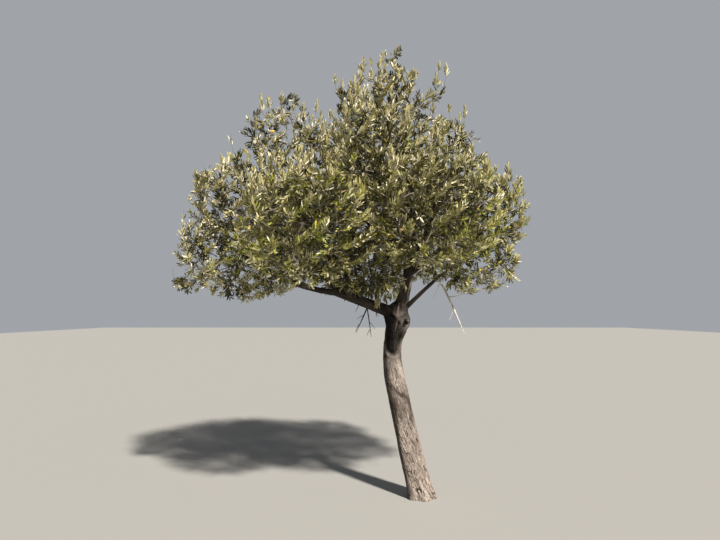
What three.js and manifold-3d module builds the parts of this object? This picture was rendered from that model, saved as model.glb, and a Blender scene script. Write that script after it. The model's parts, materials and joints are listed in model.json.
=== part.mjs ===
// A lone olive tree: a leaning trunk that forks at head height, its boughs, and an open crown.
// Millimetres, +Z up. The origin is the centre of the flat cut at ground level, and +X is the right of the picture.
// Every mass of foliage keeps to a space of its own, made of round lobes. Inside it a stem goes on from its bough,
// twigs branch from that stem towards points of an even sequence, and blades, each one a spray, stand on the twigs.
import * as THREE from "three";
import { mergeVertices } from "three/addons/utils/BufferGeometryUtils.js";
import Module from "manifold-3d";

const wasm = await Module();
wasm.setup();

// Driving dimensions of the trunk.
const TRUNK_ROUTE = [
  [0, 0, 0],
  [-138, 0, 630],
  [-250, 0, 1238],
  [-206, 0, 1543],
  [-180, 0, 1740],
];
const TRUNK_PROFILE = [
  // height, radius
  [0, 104],
  [320, 104],
  [900, 92],
  [1260, 77],
  [1370, 80],
  [1560, 112],
  [1660, 92],
  [1740, 56],
];
const TRUNK_SIDES = 18;
const TRUNK_RINGS = 18;
const ROOT_FLARE = 28; // how far the foot spreads past the trunk at ground level
const ROOT_FLARE_HEIGHT = 110;
const ROOT_TOES = 5;
const BURL = { height: 1520, bearing: -0.85, out: 27, tall: 82, wide: 0.42 };
const HOLLOW = { height: 1440, bearing: -1.75, out: -15, tall: 120, wide: 0.38 };

// Limbs: where each leaves its parent (as a share of that parent's length), its tip, its two radii, and how far its
// middle bows above the straight line. A limb with a mass ends where it enters that mass.
const LIMBS = [
  // name, parent, share, tip, thick, thin, bow
  ["left_bough", "trunk", 0.925, [-781, -110, 1820], 54, 36, 3],
  ["left_outer_bough", "left_bough", 0.94, [-1230, -50, 1925], 28, 17, -20],
  ["left_far_bough", "left_outer_bough", 0.35, [-1690, 110, 2200], 20, 12, -30],
  ["left_rising_bough", "left_bough", 0.88, [-1370, 50, 2430], 30, 15, 25],
  ["middle_left_bough", "left_rising_bough", 0.45, [-1120, -90, 2300], 17, 11, 0],
  ["left_front_bough", "left_bough", 0.7, [-860, -600, 2230], 26, 13, -40],
  ["left_back_bough", "left_bough", 0.5, [-880, 600, 2390], 28, 14, -60],
  ["low_centre_bough", "left_bough", 0.55, [-560, 10, 1910], 15, 10, 0],
  ["low_front_bough", "left_bough", 0.3, [-440, -270, 1950], 15, 9, -15],
  ["central_bough", "trunk", 0.94, [-88, 30, 2250], 56, 38, 0],
  ["leader_bough", "central_bough", 0.93, [-275, 0, 3030], 34, 17, 0],
  ["upper_left_bough", "central_bough", 0.86, [-1000, 90, 2850], 31, 15, 40],
  ["centre_bough", "upper_left_bough", 0.3, [-480, -90, 2440], 16, 11, 0],
  ["centre_right_bough", "leader_bough", 0.12, [30, -60, 2400], 15, 10, 0],
  ["right_rising_bough", "central_bough", 0.8, [205, 10, 2660], 29, 14, -25],
  ["right_outer_bough", "central_bough", 0.55, [300, 70, 2330], 26, 13, -20],
  ["right_bough", "trunk", 0.92, [165, -130, 1950], 24, 13, 5],
  ["front_right_bough", "central_bough", 0.68, [70, -500, 2420], 24, 12, -25],
  ["back_right_bough", "central_bough", 0.62, [110, 560, 2400], 25, 13, -30],
  ["upper_front_bough", "leader_bough", 0.3, [-400, -330, 2740], 21, 12, -25],
  ["upper_back_bough", "leader_bough", 0.4, [-400, 330, 2830], 21, 12, -25],
  ["dead_bough", "right_outer_bough", 0.42, [328, -190, 1546], 9, 4.5, 40],
].map(([name, parent, share, tip, thick, thin, bow]) => ({ name, parent, share, tip, thick, thin, bow }));
const LIMB_SIDES = 8;
const LIMB_STEP = 160; // length of one straight piece of a limb
const SLIM_SIDES = 6; // on a limb thinner than SLIM
const SLIM = 18;
const COLLAR = 0.35; // how much a limb swells where it leaves its parent
const COLLAR_REACH = 1.6; // in radii
const LIMB_BEADS = 12; // straight pieces that a limb counts as when the foliage keeps clear of it

// Masses: the limb each grows on from, its lift (how far its twig tips turn upwards), and its lobes: the first is the
// body of the mass, and any others are shoots that stand out of the crown.
const MASSES = [
  { name: "top_foliage", limb: "leader_bough", lift: 0.75, lobes: [
    { at: [-250, 0, 3330], size: [560, 500, 600] },
    { at: [-195, 0, 3970], size: [110, 110, 195] },
    { at: [185, 0, 3660], size: [90, 100, 150] },
    { at: [-680, 0, 3590], size: [130, 130, 170] },
  ] },
  { name: "upper_left_foliage", limb: "upper_left_bough", lift: 0.7, lobes: [
    { at: [-1150, 20, 2990], size: [480, 450, 550] },
    { at: [-1190, 0, 3520], size: [150, 140, 170] },
    { at: [-1450, 0, 3290], size: [210, 190, 240] },
  ] },
  { name: "left_shoulder_foliage", limb: "left_rising_bough", lift: 0.45, lobes: [
    { at: [-1680, 30, 2620], size: [460, 450, 430] },
    { at: [-2010, 0, 2860], size: [80, 80, 120] },
    { at: [-1640, 0, 3020], size: [100, 100, 140] },
  ] },
  { name: "far_left_foliage", limb: "left_far_bough", lift: 0.15, lobes: [
    { at: [-1890, 40, 2220], size: [350, 430, 340] },
  ] },
  { name: "lower_left_foliage", limb: "left_outer_bough", lift: -0.05, lobes: [
    { at: [-1540, -40, 1990], size: [490, 440, 270] },
    { at: [-2090, -40, 1890], size: [180, 130, 100] },
  ] },
  { name: "middle_left_foliage", limb: "middle_left_bough", lift: 0.4, lobes: [
    { at: [-1130, -60, 2480], size: [430, 410, 390] },
  ] },
  { name: "front_left_foliage", limb: "left_front_bough", lift: 0.3, lobes: [
    { at: [-960, -720, 2330], size: [600, 440, 520] },
  ] },
  { name: "back_left_foliage", limb: "left_back_bough", lift: 0.4, lobes: [
    { at: [-1030, 760, 2540], size: [640, 470, 620] },
  ] },
  { name: "low_centre_foliage", limb: "low_centre_bough", lift: 0.2, lobes: [
    { at: [-600, 0, 2020], size: [470, 400, 280] },
  ] },
  { name: "low_front_foliage", limb: "low_front_bough", lift: 0.2, lobes: [
    { at: [-480, -400, 2060], size: [370, 330, 310] },
  ] },
  { name: "centre_foliage", limb: "centre_bough", lift: 0.5, lobes: [
    { at: [-560, -20, 2690], size: [470, 440, 490] },
  ] },
  { name: "centre_right_foliage", limb: "centre_right_bough", lift: 0.4, lobes: [
    { at: [20, -60, 2560], size: [380, 400, 400] },
  ] },
  { name: "upper_right_foliage", limb: "right_rising_bough", lift: 0.6, lobes: [
    { at: [230, 0, 2980], size: [430, 430, 490] },
    { at: [420, 0, 3240], size: [110, 110, 130] },
  ] },
  { name: "right_foliage", limb: "right_outer_bough", lift: 0.3, lobes: [
    { at: [600, 40, 2540], size: [440, 440, 410] },
  ] },
  { name: "lower_right_foliage", limb: "right_bough", lift: 0.05, lobes: [
    { at: [470, -60, 2060], size: [480, 430, 270] },
  ] },
  { name: "front_right_foliage", limb: "front_right_bough", lift: 0.35, lobes: [
    { at: [50, -720, 2450], size: [590, 440, 520] },
  ] },
  { name: "upper_front_foliage", limb: "upper_front_bough", lift: 0.5, lobes: [
    { at: [-420, -570, 2960], size: [430, 350, 390] },
  ] },
  { name: "upper_back_foliage", limb: "upper_back_bough", lift: 0.5, lobes: [
    { at: [-450, 580, 3080], size: [460, 370, 430] },
  ] },
  { name: "back_right_foliage", limb: "back_right_bough", lift: 0.4, lobes: [
    { at: [130, 760, 2520], size: [640, 475, 600] },
  ] },
];

// The rule of growth.
const GAP = 0.3; // clear space between neighbouring solids
const SEAM = 0.035; // how much nearer its own lobes a point has to be than any other mass's, in lobe sizes
const LIMB_CLEARANCE = 18;
const TWIG_STEP = 160; // length of one straight piece of a twig
const TURN_COST = 0.9; // how much a twig that doubles back counts as longer
const SHORTEST_TWIG = 70;
const HEADING_KEPT = 0.45; // how much a twig starts along its parent
const STEM_REACH = 0.3; // how far past the middle of its mass a stem goes, in lobe sizes
const DRAW_AREA = 8350; // of the outline of a mass, in square millimetres, for each twig that is asked for
const COARSE_REACH = 0.74; // how far out a coarse twig ends, in lobe sizes, so that its blades end at the outline
const DRAW_SPREAD = 0.25; // low values put more of the twigs near the outline
const SEQUENCE_BASE = 1.2207440846057596; // root of x^4 = x + 1, for an even sequence in three directions
const STEM_SIDES = 5;
const STEM_SHARE = 0.94; // a stem's radius over that of its limb's tip
const TWIG_TAPER = 0.55;
const TWIG_SHARE = 0.72; // a twig's radius over that of its parent there
const TWIG_TWIST = 1.05; // how far the sides of a twig turn from one joint to the next
const THINNEST_TWIG = 4;
const JOINT = 13; // length of the straight joint at the end of each piece of a twig
const OUTWARD = 0.25; // how squarely at least a twig leaves the face of the joint that it stands on
const TWIG_CHECKS = [0.15, 0.3, 0.45, 0.6, 0.75, 0.9, 1]; // where along a twig its room is looked at
const CROSSING = 0.01; // cubic millimetres that two pieces of one mass may share

// Blades: each is one spray of leaves.
const BLADE_LENGTH = 340;
const BLADE_SPREAD = 0.14; // how much their lengths differ
const BLADE_WIDTH = 0.46; // over its length
const BLADE_THICKNESS = 0.045;
const BLADE_WIDEST = 0.45; // where along its length
const BLADE_ANGLE = 0.87; // between a side blade and its twig
const BLADE_CHECKS = [
  // shares of its length, and of its width to each side, where its room is looked at
  [0.12, 0],
  [0.22, 0.25],
  [0.33, 0.37],
  [0.33, 0],
  [BLADE_WIDEST, 0.5],
  [BLADE_WIDEST, 0.2],
  [0.58, 0.38],
  [0.58, 0],
  [0.72, 0.25],
  [0.86, 0.12],
  [1, 0],
].flatMap(([share, aside]) => [[share, aside], [share, -aside]]);
const BLADE_CUTS = [1, 0.8, 0.6, 0.45]; // lengths tried where a full blade would leave the space

// The bare twigs that hang under the left bough.
const BARE = { name: "bare_twigs", limb: "left_bough", share: 0.45, thick: 6, thin: 3, sides: 4, fork: 0.14, tips: [
  [-575, -70, 1450],
  [-440, -60, 1410],
  [-395, -40, 1590],
] };

const DEAD_WOOD = new THREE.MeshStandardMaterial({ color: 0x9a9288, roughness: 0.9, metalness: 0 });
const BARK = new THREE.MeshStandardMaterial({ color: 0x7a6d60, roughness: 0.92, metalness: 0 });
const LEAF = new THREE.MeshStandardMaterial({ color: 0x76794c, roughness: 0.6, metalness: 0 });

const vector = (place) => new THREE.Vector3(...place);
const UP = vector([0, 0, 1]);

// A seeded run of numbers from 0 to 1: the minimal standard generator.
class Dice {
  constructor(seed) {
    this.state = seed;
  }
  roll() {
    this.state = (this.state * 48271) % 2147483647;
    return this.state / 2147483647;
  }
}

// Smooth steps between [place, value] pairs.
function profileAt(pairs, place) {
  const next = pairs.findIndex((pair) => pair[0] >= place);
  if (next === 0) return pairs[0][1];
  if (next < 0) return pairs[pairs.length - 1][1];
  const [from, to] = [pairs[next - 1], pairs[next]];
  const share = (place - from[0]) / (to[0] - from[0]);
  return from[1] + (to[1] - from[1]) * share * share * (3 - 2 * share);
}

function turnBetween(a, b) {
  return Math.atan2(Math.sin(a - b), Math.cos(a - b));
}

// How far the trunk's surface stands from its centreline at a height and bearing: taper, flutes, toes, burl, hollow.
function trunkRadius(height, bearing) {
  const flutes = 0.05 * Math.cos(3 * bearing + 1.1 + height / 800) + 0.035 * Math.cos(5 * bearing - height / 600);
  const foot = ROOT_FLARE * Math.exp(-height / ROOT_FLARE_HEIGHT);
  const toes = 0.65 + 0.35 * Math.cos(ROOT_TOES * bearing + 0.6);
  const marks = [BURL, HOLLOW].map((mark) => {
    const [up, round] = [(height - mark.height) / mark.tall, turnBetween(bearing, mark.bearing) / mark.wide];
    return mark.out * Math.exp(-up * up - round * round);
  });
  return profileAt(TRUNK_PROFILE, height) * (1 + flutes) + foot * toes + marks[0] + marks[1];
}

function solidOf(geometry) {
  const bare = geometry.clone();
  bare.deleteAttribute("normal");
  bare.deleteAttribute("uv");
  const merged = mergeVertices(bare, 1e-3);
  return new wasm.Manifold(
    new wasm.Mesh({
      numProp: 3,
      vertProperties: new Float32Array(merged.attributes.position.array),
      triVerts: new Uint32Array(merged.index.array),
    }),
  );
}

// The largest closed body of a solid, without loose scraps or sealed hollows.
function mainBody(solid) {
  return solid.decompose().reduce((best, piece) => (piece.volume() > best.volume() ? piece : best));
}

function meshOf(name, solid, material) {
  const made = solid.getMesh();
  const geometry = new THREE.BufferGeometry()
    .setAttribute("position", new THREE.BufferAttribute(new Float32Array(made.vertProperties), 3))
    .setIndex(new THREE.BufferAttribute(new Uint32Array(made.triVerts), 1));
  geometry.computeVertexNormals();
  const mesh = new THREE.Mesh(geometry, material);
  mesh.name = name;
  return mesh;
}

// The trunk in level slices, so that its foot is one flat cut. grown makes it that much thicker and higher.
function trunkSolid(curve, grown) {
  const geometry = new THREE.CylinderGeometry(1, 1, 1, TRUNK_SIDES, TRUNK_RINGS);
  const places = geometry.attributes.position;
  for (let i = 0; i < places.count; i++) {
    const [x, y] = [places.getX(i), -places.getZ(i)];
    const bearing = Math.atan2(y, x);
    const centre = curve.getPointAt(places.getY(i) + 0.5);
    const reach = Math.hypot(x, y) * (trunkRadius(centre.z, bearing) + grown);
    const height = places.getY(i) > 0.4999 ? centre.z + grown : centre.z;
    places.setXYZ(i, centre.x + reach * Math.cos(bearing), centre.y + reach * Math.sin(bearing), height);
  }
  return solidOf(geometry);
}

// A round solid along a curve, whose radius is a function of the share of the way along it. grown makes it that much
// thicker, and longer at both ends.
function tubeSolid(curve, radiusAt, sides, rings, grown = 0) {
  const geometry = new THREE.CylinderGeometry(1, 1, 1, sides, rings);
  const frames = curve.computeFrenetFrames(rings);
  const places = geometry.attributes.position;
  for (let i = 0; i < places.count; i++) {
    const share = places.getY(i) + 0.5;
    const ring = Math.round(share * rings);
    const radius = radiusAt(share) + grown;
    const longer = ring === 0 ? -grown : ring === rings ? grown : 0;
    const place = curve
      .getPointAt(share)
      .addScaledVector(frames.tangents[ring], longer)
      .addScaledVector(frames.normals[ring], places.getX(i) * radius)
      .addScaledVector(frames.binormals[ring], -places.getZ(i) * radius);
    places.setXYZ(i, place.x, place.y, place.z);
  }
  return solidOf(geometry);
}

function limbRadius(limb, share, length) {
  const collar = 1 + COLLAR * Math.exp((-share * length) / (COLLAR_REACH * limb.thick));
  return (limb.thin + (limb.thick - limb.thin) * (1 - share)) * collar;
}

// Every limb with its curve, its length and the straight pieces that nothing else may touch.
function layOutLimbs() {
  const trunkCurve = new THREE.CatmullRomCurve3(TRUNK_ROUTE.map(vector));
  const limbs = { trunk: { name: "trunk", curve: trunkCurve, length: trunkCurve.getLength() } };
  for (const limb of LIMBS) {
    const start = limbs[limb.parent].curve.getPointAt(limb.share);
    const tip = vector(limb.tip);
    const middle = start.clone().lerp(tip, 0.5).addScaledVector(UP, 2 * limb.bow);
    const curve = new THREE.QuadraticBezierCurve3(start, middle, tip);
    limbs[limb.name] = { ...limb, curve, length: curve.getLength() };
  }
  for (const limb of Object.values(limbs)) {
    limb.beads = Array.from({ length: LIMB_BEADS + 1 }, (_, i) => {
      const place = limb.curve.getPointAt(i / LIMB_BEADS);
      const radius = limb.thick
        ? limbRadius(limb, i / LIMB_BEADS, limb.length)
        : profileAt(TRUNK_PROFILE, place.z) + Math.max(BURL.out, ROOT_FLARE * Math.exp(-place.z / ROOT_FLARE_HEIGHT));
      return { place, radius };
    });
  }
  return limbs;
}

function clearOfLimbs(limbs, point, clearance) {
  const nearest = new THREE.Vector3();
  for (const { beads } of Object.values(limbs)) {
    for (let i = 1; i < beads.length; i++) {
      const [a, b] = [beads[i - 1], beads[i]];
      const along = new THREE.Vector3().subVectors(b.place, a.place);
      const share = THREE.MathUtils.clamp(
        new THREE.Vector3().subVectors(point, a.place).dot(along) / along.lengthSq(), 0, 1,
      );
      nearest.copy(a.place).addScaledVector(along, share);
      if (nearest.distanceTo(point) < Math.max(a.radius, b.radius) + clearance) return false;
    }
  }
  return true;
}

// How far a point is from the middle of a mass, where 1 is the outline of its nearest lobe.
function depthIn(mass, point) {
  return Math.min(
    ...mass.lobes.map(({ at, size }) =>
      Math.hypot((point.x - at[0]) / size[0], (point.y - at[1]) / size[1], (point.z - at[2]) / size[2]),
    ),
  );
}

function inOwnSpace(mass, point) {
  const own = depthIn(mass, point);
  return own <= 1 && MASSES.every((other) => other === mass || depthIn(other, point) > own + SEAM);
}

// A curved run of points from one place and heading to another place, its end turned up by lift.
function bendTo(start, heading, end, lift) {
  const straight = new THREE.Vector3().subVectors(end, start);
  const length = straight.length();
  straight.normalize();
  const leaving = heading.clone().multiplyScalar(HEADING_KEPT).addScaledVector(straight, 1 - HEADING_KEPT);
  const arriving = straight.clone().addScaledVector(UP, lift).normalize();
  const curve = new THREE.CubicBezierCurve3(
    start.clone(),
    start.clone().addScaledVector(leaving.normalize(), length / 3),
    end.clone().addScaledVector(arriving, -length / 3),
    end.clone(),
  );
  return { curve, pieces: Math.max(1, Math.round(length / TWIG_STEP)) };
}

// The place that draw number k of a mass asks for. The first draws ask for each standing shoot, and after those
// every sixth goes back to one of them.
function drawPlace(mass, k, reach) {
  const shoots = mass.lobes.length - 1;
  if (k < shoots) return vector(mass.lobes[k + 1].at);
  const lobe = shoots && k % 6 === 0 ? mass.lobes[1 + ((k / 6) % shoots)] : mass.lobes[0];
  const [a, b, c] = [1, 2, 3].map((power) => (0.5 + k / SEQUENCE_BASE ** power) % 1);
  const [level, turn, out] = [1 - 2 * a, 2 * Math.PI * b, reach * c ** DRAW_SPREAD];
  const flat = Math.sqrt(1 - level * level);
  const towards = [flat * Math.cos(turn), flat * Math.sin(turn), level];
  return vector(lobe.at.map((middle, i) => middle + lobe.size[i] * out * towards[i]));
}

function middleOf(points) {
  return points.reduce((sum, point) => sum.add(point), new THREE.Vector3()).divideScalar(points.length);
}

// The triangles of a shell through rings that have equally many points: its flat root, and its skin, which runs from
// the first ring to a pointed tip or a flat end.
function loft(rings, tip) {
  const count = rings[0].length;
  const end = rings.at(-1);
  const root = [];
  const skin = [];
  for (let i = 2; i < count; i++) {
    root.push([rings[0][0], rings[0][i], rings[0][i - 1]]);
    if (!tip) skin.push([end[0], end[i - 1], end[i]]);
  }
  for (let i = 0; i < count; i++) {
    const next = (i + 1) % count;
    for (let level = 1; level < rings.length; level++) {
      const [lower, upper] = [rings[level - 1], rings[level]];
      skin.push([lower[i], lower[next], upper[next]], [lower[i], upper[next], upper[i]]);
    }
    if (tip) skin.push([end[i], end[next], tip]);
  }
  return { root, skin };
}

function solidOfFaces(faces) {
  return solidOf(new THREE.BufferGeometry().setFromPoints(faces.flat()));
}

// The faces between the two rings of a joint. A twig or a blade may stand on each.
function jointFaces(lower, upper, heading, radius) {
  return lower.map((corner, i) => {
    const next = (i + 1) % lower.length;
    const corners = [corner, lower[next], upper[next]];
    const normal = new THREE.Triangle(...corners).getNormal(new THREE.Vector3());
    return { corners, place: middleOf(corners), normal, heading, radius };
  });
}

// The widest section of a blade, flat below and rounded above, as a ring turned to follow on from another ring.
function bladeRing(before, { root, along, across, length }) {
  const middle = root.clone().addScaledVector(along, length * BLADE_WIDEST);
  const through = new THREE.Vector3().crossVectors(along, across);
  const ring = before.map((_, i) => {
    const turn = (Math.PI * i) / (before.length - 1);
    return middle
      .clone()
      .addScaledVector(across, (length * BLADE_WIDTH * Math.cos(turn)) / 2)
      .addScaledVector(through, length * BLADE_THICKNESS * Math.sin(turn));
  });
  const turns = before.map((_, shift) => before.map((_, i) => ring[(i + shift) % ring.length]));
  const twist = (turned) => turned.reduce((sum, point, i) => sum + point.distanceTo(before[i]), 0);
  return turns.reduce((best, turned) => (twist(turned) < twist(best) ? turned : best));
}

// One mass as it grows: its parts as closed solids, the one skin round them all, and the joint faces still free.
class Foliage {
  constructor(mass, limbs, seed) {
    this.mass = mass;
    this.limbs = limbs;
    this.dice = new Dice(seed);
    this.parts = [];
    this.skin = [];
    this.faces = [];
  }

  // Whether every point is in the mass's own space and clear of the limbs.
  hasRoom(points) {
    return points.every((point) => inOwnSpace(this.mass, point) && clearOfLimbs(this.limbs, point, LIMB_CLEARANCE));
  }

  // Adds a part, unless it crosses one that grew before it. Its skin opens out of the face that its root stands on.
  add(rings, tip) {
    const { root, skin } = loft(rings, tip);
    const solid = solidOfFaces([...root, ...skin]);
    if (this.parts.some((part) => part.intersect(solid).volume() > CROSSING)) return false;
    if (this.parts.length === 0) this.skin.push(...root);
    this.skin = this.skin.filter((face) => face.some((corner, i) => corner !== rings[0][i]));
    this.skin.push(...skin);
    this.parts.push(solid);
    return true;
  }

  // The longest cut of a blade that has room, or undefined.
  fitBlade(root, along, across) {
    const full = BLADE_LENGTH * (1 + BLADE_SPREAD * (2 * this.dice.roll() - 1));
    const pointAt = (share, aside, length) =>
      root.clone().addScaledVector(along, share * length).addScaledVector(across, aside * length * BLADE_WIDTH);
    const fitted = BLADE_CUTS.find((cut) =>
      this.hasRoom(BLADE_CHECKS.map(([share, aside]) => pointAt(share, aside, full * cut))),
    );
    return fitted && { root, along, across, length: full * fitted };
  }

  // A twig from the ring of points root, with a joint at the end of each straight piece and a blade at its tip.
  addTwig(root, { curve, pieces }, thick) {
    const thin = Math.max(thick * TWIG_TAPER, THINNEST_TWIG * 0.8);
    const { tangents, normals, binormals } = curve.computeFrenetFrames(pieces);
    const lean = new THREE.Vector3().subVectors(root[0], middleOf(root));
    const phase = Math.atan2(lean.dot(binormals[0]), lean.dot(normals[0]));
    const radiusAt = (level) => thick + ((thin - thick) * level) / pieces;
    const ringAt = (level, back) =>
      root.map((_, i) => {
        const turn = phase + TWIG_TWIST * level + (2 * Math.PI * i) / root.length;
        return curve
          .getPointAt(level / pieces)
          .addScaledVector(tangents[level], -back)
          .addScaledVector(normals[level], radiusAt(level) * Math.cos(turn))
          .addScaledVector(binormals[level], radiusAt(level) * Math.sin(turn));
      });
    const rings = [root];
    const faces = [];
    for (let level = 1; level <= pieces; level++) {
      rings.push(ringAt(level, JOINT), ringAt(level, 0));
      faces.push(...jointFaces(rings.at(-2), rings.at(-1), tangents[level], radiusAt(level)));
    }
    const blade = this.fitBlade(curve.getPointAt(1), tangents[pieces], normals[pieces]);
    if (blade) rings.push(bladeRing(rings.at(-1), blade));
    const tip = blade && blade.root.clone().addScaledVector(blade.along, blade.length);
    if (!this.add(rings, tip)) return false;
    this.faces.push(...faces);
    return true;
  }

  // The stem, which goes on from the tip of its limb and past the middle of the mass.
  addStem() {
    const limb = this.limbs[this.mass.limb];
    const body = this.mass.lobes[0];
    const { tangents, normals, binormals } = limb.curve.computeFrenetFrames(1);
    const start = vector(limb.tip).addScaledVector(tangents[1], GAP);
    const thick = limb.thin * STEM_SHARE;
    const root = Array.from({ length: STEM_SIDES }, (_, i) => {
      const turn = (2 * Math.PI * i) / STEM_SIDES;
      return start
        .clone()
        .addScaledVector(normals[1], thick * Math.cos(turn))
        .addScaledVector(binormals[1], thick * Math.sin(turn));
    });
    const end = vector(body.at).addScaledVector(UP, STEM_REACH * body.size[2]);
    this.addTwig(root, bendTo(start, tangents[1], end, this.mass.lift), thick);
  }

  // A twig to a place, from the free face that reaches it with the shortest and straightest way.
  addTwigTo(place) {
    let best = null;
    for (const face of this.faces) {
      const way = new THREE.Vector3().subVectors(place, face.place);
      const length = way.length();
      const cost = length * (1 + TURN_COST * (1 - way.dot(face.heading) / length));
      const open = length > SHORTEST_TWIG && way.dot(face.normal) > OUTWARD * length;
      if (open && (!best || cost < best.cost)) best = { face, cost };
    }
    if (!best) return;
    const { corners, place: start, heading, radius } = best.face;
    const way = bendTo(start, heading, place, this.mass.lift);
    if (!this.hasRoom(TWIG_CHECKS.map((share) => way.curve.getPointAt(share)))) return;
    if (!this.addTwig(corners, way, Math.max(radius * TWIG_SHARE, THINNEST_TWIG))) return;
    this.faces = this.faces.filter((face) => face !== best.face);
  }

  addBladeOn({ corners, place, normal, heading }) {
    const along = heading
      .clone()
      .multiplyScalar(Math.cos(BLADE_ANGLE))
      .addScaledVector(normal, Math.sin(BLADE_ANGLE))
      .normalize();
    const across = new THREE.Vector3().crossVectors(normal, heading).normalize();
    const blade = this.fitBlade(place, along, across);
    if (blade) this.add([corners, bladeRing(corners, blade)], place.clone().addScaledVector(along, blade.length));
  }
}

// A mass: its stem goes on from the tip of its limb, then come its twigs, and blades on the faces left free.
function massSolid(mass, limbs, seed) {
  const foliage = new Foliage(mass, limbs, seed);
  foliage.addStem();
  const [wide, deep, tall] = mass.lobes[0].size;
  const draws = Math.round((wide * deep + deep * tall + tall * wide) / 3 / DRAW_AREA);
  for (let k = 0; k < draws; k++) {
    const place = drawPlace(mass, k, COARSE_REACH);
    if (inOwnSpace(mass, place)) foliage.addTwigTo(place);
  }
  foliage.faces.forEach((face) => foliage.addBladeOn(face));
  return solidOfFaces(foliage.skin);
}

function bareTwigs(limbs) {
  const start = limbs[BARE.limb].curve.getPointAt(BARE.share);
  const fork = start.clone().lerp(vector(BARE.tips[0]), BARE.fork);
  const taper = (share) => BARE.thick + (BARE.thin - BARE.thick) * share;
  const twigs = BARE.tips.map((tip, i) => {
    const from = i === 0 ? start : fork;
    const middle = from.clone().lerp(vector(tip), 0.5).addScaledVector(UP, i === 0 ? 0 : 18);
    return tubeSolid(new THREE.QuadraticBezierCurve3(from, middle, vector(tip)), taper, BARE.sides, 3);
  });
  return twigs.reduce((joined, twig) => joined.add(twig));
}

const tree = new THREE.Group();
const limbs = layOutLimbs();
tree.add(meshOf("trunk", trunkSolid(limbs.trunk.curve, 0), BARK));

// Each limb starts inside its parent and is cut clear of every limb before it.
const earlier = [trunkSolid(limbs.trunk.curve, GAP)];
for (const { name } of LIMBS) {
  const limb = limbs[name];
  const sides = limb.thick < SLIM ? SLIM_SIDES : LIMB_SIDES;
  const rings = Math.max(2, Math.round(limb.length / LIMB_STEP));
  const radiusAt = (share) => limbRadius(limb, share, limb.length);
  const shape = (grown) => tubeSolid(limb.curve, radiusAt, sides, rings, grown);
  const cut = mainBody(earlier.reduce((left, other) => left.subtract(other), shape(0)));
  tree.add(meshOf(name, cut, name === "dead_bough" ? DEAD_WOOD : BARK));
  earlier.push(shape(GAP));
}
const hanging = mainBody(earlier.reduce((left, other) => left.subtract(other), bareTwigs(limbs)));
tree.add(meshOf(BARE.name, hanging, DEAD_WOOD));
MASSES.forEach((mass, i) => tree.add(meshOf(mass.name, massSolid(mass, limbs, 1000 + 37 * i), LEAF)));

export default tree;
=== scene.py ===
"""The looks of the olive tree: bark, boughs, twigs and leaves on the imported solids.

Shapes are worked out in millimetres, +Z up, and go into their meshes in metres. Every mass of foliage grows again
here by the rule of the part's source: a stem goes on from its bough, and twigs branch from it towards the points of
an even sequence. Here the sequence runs on, so finer twigs with pairs of leaves fill the same spaces, and shoots stand
and hang out of them.
"""

from __future__ import annotations

import json
import logging
import math
from dataclasses import dataclass, field, replace
from enum import Enum

import bpy
import numpy as np
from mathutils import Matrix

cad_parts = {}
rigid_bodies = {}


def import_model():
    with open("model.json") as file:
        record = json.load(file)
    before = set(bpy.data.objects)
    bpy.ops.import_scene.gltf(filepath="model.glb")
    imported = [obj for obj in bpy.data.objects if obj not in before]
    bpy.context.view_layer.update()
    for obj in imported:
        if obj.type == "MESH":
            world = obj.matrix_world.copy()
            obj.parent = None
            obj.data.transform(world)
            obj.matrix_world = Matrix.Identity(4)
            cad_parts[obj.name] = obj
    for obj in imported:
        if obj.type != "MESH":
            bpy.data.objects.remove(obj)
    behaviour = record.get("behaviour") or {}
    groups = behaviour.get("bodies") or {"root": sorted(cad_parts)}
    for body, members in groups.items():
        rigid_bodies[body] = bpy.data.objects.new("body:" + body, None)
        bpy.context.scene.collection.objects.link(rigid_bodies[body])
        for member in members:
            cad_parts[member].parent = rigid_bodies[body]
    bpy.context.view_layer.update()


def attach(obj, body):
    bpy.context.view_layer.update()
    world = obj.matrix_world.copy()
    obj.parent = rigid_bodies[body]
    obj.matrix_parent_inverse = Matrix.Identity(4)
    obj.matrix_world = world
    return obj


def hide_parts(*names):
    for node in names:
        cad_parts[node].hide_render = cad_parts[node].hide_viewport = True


LOG = logging.getLogger("olive_tree")
BODY = "root"
METRES = 0.001
UP = np.array([0.0, 0.0, 1.0])

Colour = tuple[float, float, float]
Place = tuple[float, float, float]

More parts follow.
